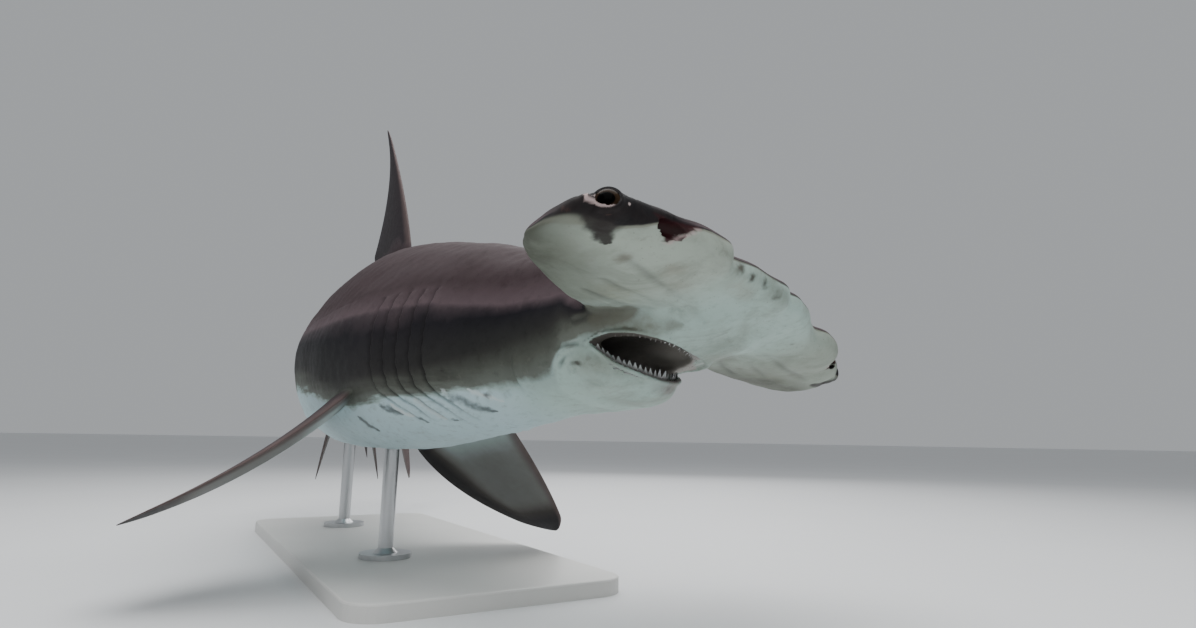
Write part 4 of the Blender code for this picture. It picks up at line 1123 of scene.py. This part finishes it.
def skinLook():
    look = Look("sharkSkin", specular=0.13)
    room, place = look.room(), look.attribute("place", "Vector")
    jitter = look.noise(place, 90.0, 3.0, output="Color")
    jitter = look.vector('SUBTRACT', jitter, (0.5, 0.5, 0.5))
    wander = look.node("VectorMath", {"operation": 'MULTIPLY_ADD'},
                       {0: jitter, 1: (0.012, 0.012, 0.012), 2: place})
    station, y, z = look.parts(place)
    bothSides = look.node("Math", {"operation": 'ABSOLUTE'}, {0: y})
    mirrored = look.node("CombineXYZ", {}, {0: station, 1: bothSides, 2: z})
    mirrored = look.node("VectorMath", {"operation": 'MULTIPLY_ADD'},
                         {0: jitter, 1: (0.012, 0.012, 0.012), 2: mirrored})
    straight = look.node("VectorMath", {"operation": 'MULTIPLY_ADD'}, {0: jitter, 1: (-0.009, -0.009, -0.009), 2: mirrored})
    tone, deep = look.attribute("tone"), look.attribute("deep")
    chord, level, onFin = look.parts(look.attribute("finPlace", "Vector"))
    broad = look.noise(room, 3.2, 4.0, 0.55)
    middle = look.noise(room, 16.0, 5.0, 0.6)
    small = look.noise(room, 70.0, 5.0, 0.62)
    fine = look.noise(room, 420.0, 3.0, 0.6)
    streaks = look.noise(look.stretch(place, (9.0, 9.0, 60.0), (0.0, radians(28.0), 0.0)), 1.0, 4.0, 0.6)
    # The border of the belly is ragged, with slanting slashes behind the head
    border = look.step(tone, 0.50, 0.30)
    ragged = tone + (streaks - 0.5) * border * 0.36 * look.step(station, 0.42, 0.60)
    ragged = ragged + (middle - 0.5) * (border * 0.14 + 0.05) + (broad - 0.5) * 0.08
    # The near-black band along the flank is partly painted shade, and the top of the back is painted darker than the
    # upper flank, painted shade against the light from above
    colour = look.ramp(ragged,
                       (0.02, (0.43, 0.56, 0.51)), (0.11, (0.34, 0.44, 0.41)), (0.17, (0.135, 0.150, 0.130)),
                       (0.30, (0.080, 0.086, 0.072)), (0.46, (0.030, 0.030, 0.027)),
                       (0.58, (0.009, 0.0085, 0.0115)), (0.68, (0.104, 0.074, 0.082)),
                       (1.00, (0.044, 0.028, 0.031)))
    colour = look.mix(look.step(station, 0.36, 0.52) * look.step(ragged, 0.14, 0.05) * 0.75,
                      colour, (0.52, 0.68, 0.74))
    # Soft clouds in the dark and in the pale
    colour = look.mix((broad - 0.35) * 0.8, colour, look.mix(0.5, colour, (0.10, 0.085, 0.09)))
    colour = look.mix(look.step(small, 0.50, 0.78) * 0.30, colour, (0.30, 0.31, 0.28), 'MULTIPLY')
    colour = look.mix(look.step(middle, 0.50, 0.80) * 0.20, colour, (0.62, 0.60, 0.50), 'MULTIPLY')
    for start, end, width in darkSlashes:
        colour = look.mix(look.stroke(mirrored, start, end, width * 1.3, 0.75) * 0.80, colour, (0.066, 0.074, 0.070))
    for start, end, width in paleSlashes:
        colour = look.mix(look.stroke(mirrored, start, end, width, 0.8) * 0.9, colour, (0.58, 0.66, 0.66))
    # Fins: dark, greyer in the middle of their undersides
    under = look.step(look.attribute("upward"), 0.15, -0.45)
    centre = look.step(chord, 0.90, 0.60) * look.step(level, 0.92, 0.66)
    centre = centre + look.step(level, 0.34, 0.04) * look.step(chord, 0.98, 0.70) * 0.8
    finTone = look.ramp((centre * under + (small - 0.5) * 0.16 + (middle - 0.5) * 0.26) * 0.6,
                        (0.04, (0.009, 0.008, 0.009)), (0.28, (0.052, 0.046, 0.042)),
                        (0.50, (0.150, 0.148, 0.138)), (0.66, (0.21, 0.22, 0.21)), (0.95, (0.38, 0.46, 0.45)))
    # Painted shade: the upper sides of the fins are lighter where they face up and darker where they face sideways
    upper = look.mix(look.step(look.attribute("upward"), 0.05, 0.50), (0.026, 0.020, 0.023), (0.046, 0.031, 0.034))
    upper = look.mix(look.step(chord, 0.72, 1.0) * 0.6, upper, (0.011, 0.009, 0.010))
    finTone = look.mix(1.0 - under, finTone, upper)
    finTone = look.mix(look.step(chord, 0.09, 0.01) * 0.8, finTone, look.mix(middle, (0.078, 0.058, 0.056), (0.150, 0.106, 0.101)))
    colour = look.mix(onFin * 0.95, colour, finTone)
    # Patches and spots
    for patches, paint in ((olivePatches, (0.40, 0.40, 0.24)), (brownPatches, (0.24, 0.19, 0.14))):
        for spot, size, strength in patches:
            colour = look.mix(look.blob(wander, spot, size, 0.9) * strength * look.step(middle, 0.3, 0.6),
                              colour, paint)
    for spot, size, strength in darkSpots:
        colour = look.mix(look.blob(wander, spot, size, 0.85) * strength, colour, (0.036, 0.030, 0.028))
    # The underside of the hammer is cloudy, with painted shade making it greyer towards its outer rear edge and over
    # its left wing
    wings = look.step(station, 0.34, 0.28) * look.step(tone, 0.5, 0.2)
    outer = look.step(bothSides + station * 0.6 + (middle - 0.5) * 0.10, 0.25, 0.50) * look.step(station, 0.08, 0.18)
    leftWingShade = look.step(y, 0.05, 0.26)
    colour = look.mix(wings * look.step(bothSides, 0.08, 0.22) * 0.6, colour, (0.37, 0.38, 0.31))
    colour = look.mix(wings * (outer * 0.95 + leftWingShade * 0.30), colour, (0.080, 0.086, 0.066))
    clouds = look.step(look.noise(place, 11.0, 5.0, 0.62, 0.6), 0.40, 0.68)
    colour = look.mix(wings * clouds * 0.60, colour, (0.20, 0.225, 0.185))
    flecks = look.step(look.noise(place, 55.0, 4.0, 0.7), 0.56, 0.74)
    colour = look.mix(flecks * look.step(tone, 0.5, 0.2) * 0.30, colour, (0.20, 0.20, 0.17))
    colour = look.mix(look.blob(wander, (0.226, 0.020, -0.108), (0.030, 0.075, 0.030), 0.9) * 0.55, colour,
                      look.mix(small, (0.10, 0.10, 0.11), (0.26, 0.22, 0.21)))
    # The wedge under the eye and the rusty rim
    wedge = look.blob(mirrored, (0.090, 0.380, -0.026), (0.028, 0.031, 0.045), 0.45)
    point = look.stroke(mirrored, (0.088, 0.388, -0.030), (0.108, 0.342, -0.036), 0.017, 0.6)
    colour = look.mix(wedge * 0.9, colour, (0.026, 0.022, 0.021))
    colour = look.mix(point * 0.95, colour, (0.032, 0.028, 0.026))
    rusty = look.step(bothSides, 0.25, 0.30) * look.step(tone, 0.35, 0.60) * look.step(station, 0.17, 0.12)
    colour = look.mix(rusty, colour, look.ramp(middle, (0.46, (0.010, 0.009, 0.010)), (0.62, (0.022, 0.017, 0.017)),
                                               (0.78, (0.120, 0.060, 0.052))))
    # A painted highlight at the front notch of the eye
    notchHighlight = look.blob(mirrored, (0.067, 0.366, -0.003), (0.0035, 0.0035, 0.004), 0.5)
    colour = look.mix(notchHighlight * 0.9, colour, (0.50, 0.42, 0.40))
    # Dark red in the nostril, with painted shade of its notch, and along its groove
    colour = look.mix(look.attribute("nostril") * 0.97, colour, look.mix(small, (0.010, 0.003, 0.004), (0.050, 0.010, 0.013)))
    colour = look.mix(look.attribute("nostrilEdge") * 0.8, colour, (0.50, 0.38, 0.37))
    groove = look.blob(mirrored, (0.043, 0.215, 0.007), (0.014, 0.050, 0.008), 0.5)
    colour = look.mix(groove * 0.5, colour, (0.10, 0.035, 0.035))
    # Painted shade in the slits and creases
    colour = look.mix(deep * 0.80, colour, (0.016, 0.014, 0.015))
    # Pores under the snout
    pore = look.step(look.cells(place, 150.0), 0.16, 0.08) * look.step(tone, 0.4, 0.1) \
        * look.step(station, 0.33, 0.24) * look.step(middle, 0.42, 0.6)
    colour = look.mix(pore * 0.55, colour, (0.12, 0.11, 0.10))
    # The mouth: the lining is painted darker deeper into the throat as painted shade, and lighter on its left wall
    # as painted light
    inside, gum = look.attribute("inside"), look.attribute("gum")
    throatShade = look.step(station, 0.190, 0.262)
    lining = look.mix(throatShade, (0.150, 0.140, 0.124), (0.080, 0.073, 0.065))
    # Painted light on the left wall of the mouth
    lining = look.mix(look.step(y, 0.005, 0.085) * 0.85, lining, (0.33, 0.31, 0.28))
    lining = look.mix(look.step(middle, 0.45, 0.7) * 0.4, lining, (0.045, 0.038, 0.034))
    lining = look.mix(look.step(z, -0.080, -0.094) * 0.85, lining, (0.036, 0.014, 0.018))
    lining = look.mix(gum * 0.90, lining, look.mix(middle, (0.085, 0.070, 0.074), (0.240, 0.200, 0.200)))
    colour = look.mix(inside, colour, lining)
    # The pale fold over the lower edge of the eye
    colour = look.mix(look.attribute("lidFold"), colour, look.mix(small, (0.50, 0.40, 0.39), (0.36, 0.27, 0.26)))
    # The pale line of the upper lip, a painted highlight along its edge, the browner skin above it, and a pale
    # stroke along the front of the lower lip, painted light over the shadow under it
    for start, end, width, paint, share in (
            ((0.285, 0.128, -0.038), (0.145, 0.085, -0.042), 0.030, (0.130, 0.124, 0.094), 0.85),
            ((0.345, 0.130, -0.081), (0.254, 0.126, -0.058), 0.0040, (0.40, 0.42, 0.38), 0.75),
            ((0.270, 0.126, -0.060), (0.178, 0.066, -0.055), 0.0050, (0.46, 0.50, 0.47), 0.8),
            ((0.224, -0.070, -0.105), (0.224, 0.070, -0.100), 0.0070, (0.26, 0.25, 0.24), 0.7)):
        stroke = look.stroke(straight, start, end, width, 0.95) * (1.0 - inside)
        colour = look.mix(stroke * share * (0.45 + look.step(middle, 0.3, 0.6) * 0.55), colour, paint)
    look.set("Base Color", colour)
    wet = look.step(inside, 0.3, 1.0)
    rough = 0.56 + look.step(tone, 0.7, 1.0) * 0.12 + (small - 0.5) * 0.22 + (fine - 0.5) * 0.14 - wet * 0.18
    look.set("Roughness", rough)
    # Tiny scales, gentle wrinkles and the rays of the fins
    scales = look.cells(room, 900.0)
    rays = look.node("TexWave", {"wave_type": 'BANDS', "bands_direction": 'X'},
                     {"Vector": look.node("CombineXYZ", {}, {0: chord, 1: level * 0.05, 2: 0.0}),
                      "Scale": 14.0, "Distortion": 1.2, "Detail": 2.0}, "Fac")
    height = small * 0.5 + middle * 0.8 + fine * 0.14 + scales * 0.05 + rays * onFin * 0.10 - pore * 0.3
    look.set("Normal", look.bump(height, 0.55, 0.0016))
    return look.material


def eyeLook():
    look = Look("eyeWet", 0.24, specular=0.12)
    at = look.attribute("eyePlace", "Vector")
    x, y, out = look.parts(at)
    around = look.node("Math", {"operation": 'ARCTAN2'}, {0: y, 1: x})
    reach = look.node("Math", {"operation": 'SQRT'}, {0: x * x * 1.35 + y * y * 0.8})
    uneven = look.noise(look.node("CombineXYZ", {}, {0: around * 3.0, 1: reach * 3.0, 2: 0.0}), 5.0, 4.0)
    iris = look.ramp(reach + (uneven - 0.5) * 0.10,
                     (0.00, (0.001, 0.001, 0.001)), (0.46, (0.001, 0.001, 0.001)),
                     (0.52, (0.022, 0.013, 0.008)), (0.70, (0.034, 0.020, 0.011)),
                     (0.84, (0.008, 0.006, 0.005)), (0.95, (0.05, 0.035, 0.032)))
    look.set("Base Color", iris)
    look.set("IOR", 1.12)
    look.set("Coat Weight", 0.15)
    look.set("Coat Roughness", 0.06)
    look.set("Coat IOR", 1.15)
    return look.material


def toothLook():
    look = Look("toothIvory", 0.22, specular=0.5)
    at = look.room()
    up, small = look.attribute("toothUp"), look.noise(at, 300.0, 4.0)
    colour = look.mix(look.step(up, 0.1, 0.65), (0.20, 0.18, 0.17), (0.66, 0.69, 0.68))
    look.set("Base Color", look.mix(look.step(small, 0.5, 0.8) * 0.35, colour, (0.30, 0.28, 0.25)))
    look.set("Coat Weight", 0.4)
    look.set("Normal", look.bump(small, 0.25, 0.0004))
    return look.material


def paintLook():
    look = Look("standPaint", specular=0.4)
    at = look.room()
    grain, broad = look.noise(at, 900.0, 3.0), look.noise(at, 4.0, 3.0)
    look.set("Base Color", look.mix(broad, (0.60, 0.595, 0.575), (0.68, 0.675, 0.65)))
    look.set("Roughness", 0.40 + (grain - 0.5) * 0.12)
    look.set("Normal", look.bump(grain, 0.20, 0.0004))
    return look.material


def steelLook():
    look = Look("rodSteel", metallic=1.0)
    at = look.room()
    brushed = look.noise(look.stretch(at, (1.0, 1.0, 60.0)), 30.0, 3.0)
    look.set("Base Color", look.mix(brushed, (0.48, 0.49, 0.50), (0.62, 0.63, 0.64)))
    look.set("Roughness", 0.26 + brushed * 0.16)
    look.set("Normal", look.bump(brushed, 0.15, 0.0003))
    return look.material


def floorLook():
    look = Look("floorPale", specular=0.3)
    at = look.room()
    cloud, grain = look.noise(at, 1.3, 3.0), look.noise(at, 320.0, 2.0)
    look.set("Base Color", look.mix(cloud, (0.70, 0.71, 0.72), (0.75, 0.76, 0.765)))
    look.set("Roughness", 0.62 + (grain - 0.5) * 0.1)
    return look.material


def paint(item, material):
    item.data.materials.clear()
    item.data.materials.append(material)


def makeEye(name, side):
    # A ball with a swollen clear front, and its own places for the iris
    work = bmesh.new()
    bmesh.ops.create_uvsphere(work, u_segments=64, v_segments=40, radius=1.0)
    flat = np.array([v.co[:] for v in work.verts])
    swell = 1.0 + 0.035 * np.clip(flat[:, 2] - 0.6, 0.0, 1.0)
    for vert, size in zip(work.verts, swell):
        vert.co *= float(size)
    spot = eyeSpot(side) @ Matrix.Scale(eye["radius"] - 0.0005, 4)
    bmesh.ops.transform(work, matrix=spot, verts=work.verts)
    bmesh.ops.recalc_face_normals(work, faces=work.faces)
    made = asObject(name, work)
    attribute(made, "eyePlace", flat)
    return made


def smoothShade(item):
    item.data.shade_smooth()


skinPiece = makeSkin()
markSkin(skinPiece)
paint(skinPiece, skinLook())
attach(skinPiece, "root")
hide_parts("head", "jaw_lower", "gill_region", "trunk_front", "trunk_rear", "tail_stalk",
            "caudal_fin_upper", "caudal_fin_lower", "dorsal_fin_first", "dorsal_fin_second", "anal_fin",
            "pectoral_fin_left", "pectoral_fin_right", "pelvic_fin_left", "pelvic_fin_right")
print("skin done")

wetEye, ivory = eyeLook(), toothLook()
pieces = [(skinPiece, "skin_body")]
for name, side in (("left", 1), ("right", -1)):
    eyeball = makeEye("eyeball_" + name, side)
    paint(eyeball, wetEye)
    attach(eyeball, "root")
    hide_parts("eye_" + name)
    pieces.append((eyeball, "eye"))
for name, line, outline, up in (("teeth_upper", teeth["upper"], mouth["upperLip"], -1.0),
                                ("teeth_lower", teeth["lower"], mouth["lowerLip"], 1.0)):
    row = makeTeeth(name, line, outline, up)
    paint(row, ivory)
    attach(row, "root")
    pieces.append((row, "skin_head"))
for piece, slot in pieces:
    smoothShade(piece)
for name, material in (("stand_base", paintLook()), ("stand_rod_front", steelLook()),
                       ("stand_rod_rear", steelLook())):
    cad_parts[name].data.materials[0] = material
print("eyes, teeth and stand done")

# The room
room = {"floorSize": 120.0, "background": (0.78, 0.81, 0.84), "strength": 0.50}
camera = {"place": (1.8104, -0.5309, 0.2867), "azimuth": 1.0227, "elevation": -0.1775,
          "roll": 0.0157, "pixels": 701.445}


def makeRoom():
    work = bmesh.new()
    bmesh.ops.create_grid(work, x_segments=8, y_segments=8, size=room["floorSize"])
    floor = asObject("floor", work)
    paint(floor, floorLook())
    world = bpy.data.worlds.new("studio")
    bpy.context.scene.world = world
    world.use_nodes = True
    world.node_tree.nodes["Background"].inputs["Color"].default_value = (*room["background"], 1.0)
    world.node_tree.nodes["Background"].inputs["Strength"].default_value = room["strength"]
    lamps = (("above", (0.2, 0.3, 3.4), (0.0, 0.0, 0.5), 3.6, 150.0),
             ("behind", (-2.5, 2.5, 2.4), (0.2, 0.0, 0.5), 2.5, 50.0),
             ("front", (2.8, -1.2, 2.6), (1.0, -0.2, 0.0), 2.5, 36.0))
    for name, place, aim, size, power in lamps:
        light = bpy.data.lights.new(name, 'AREA')
        light.energy, light.size = power, size
        lamp = bpy.data.objects.new(name, light)
        lamp.location = place
        lamp.rotation_euler = (Vector(place) - Vector(aim)).to_track_quat('Z', 'Y').to_euler()
        bpy.context.scene.collection.objects.link(lamp)
    return floor


def makeCamera():
    az, el, roll = camera["azimuth"], camera["elevation"], camera["roll"]
    back = Vector((sin(az) * cos(el), -cos(az) * cos(el), sin(el)))
    right = Vector((cos(az), sin(az), 0.0))
    up = back.cross(right)
    across = right * cos(roll) + up * sin(roll)
    above = up * cos(roll) - right * sin(roll)
    lens = bpy.data.cameras.new("camera")
    lens.sensor_width = 36.0
    lens.lens = camera["pixels"] / 1196 * 36.0
    viewer = bpy.data.objects.new("camera", lens)
    turn = Matrix((across, above, back)).transposed().to_4x4()
    viewer.matrix_world = Matrix.Translation(camera["place"]) @ turn
    bpy.context.scene.collection.objects.link(viewer)
    bpy.context.scene.camera = viewer


floor = makeRoom()
makeCamera()
print("room made")
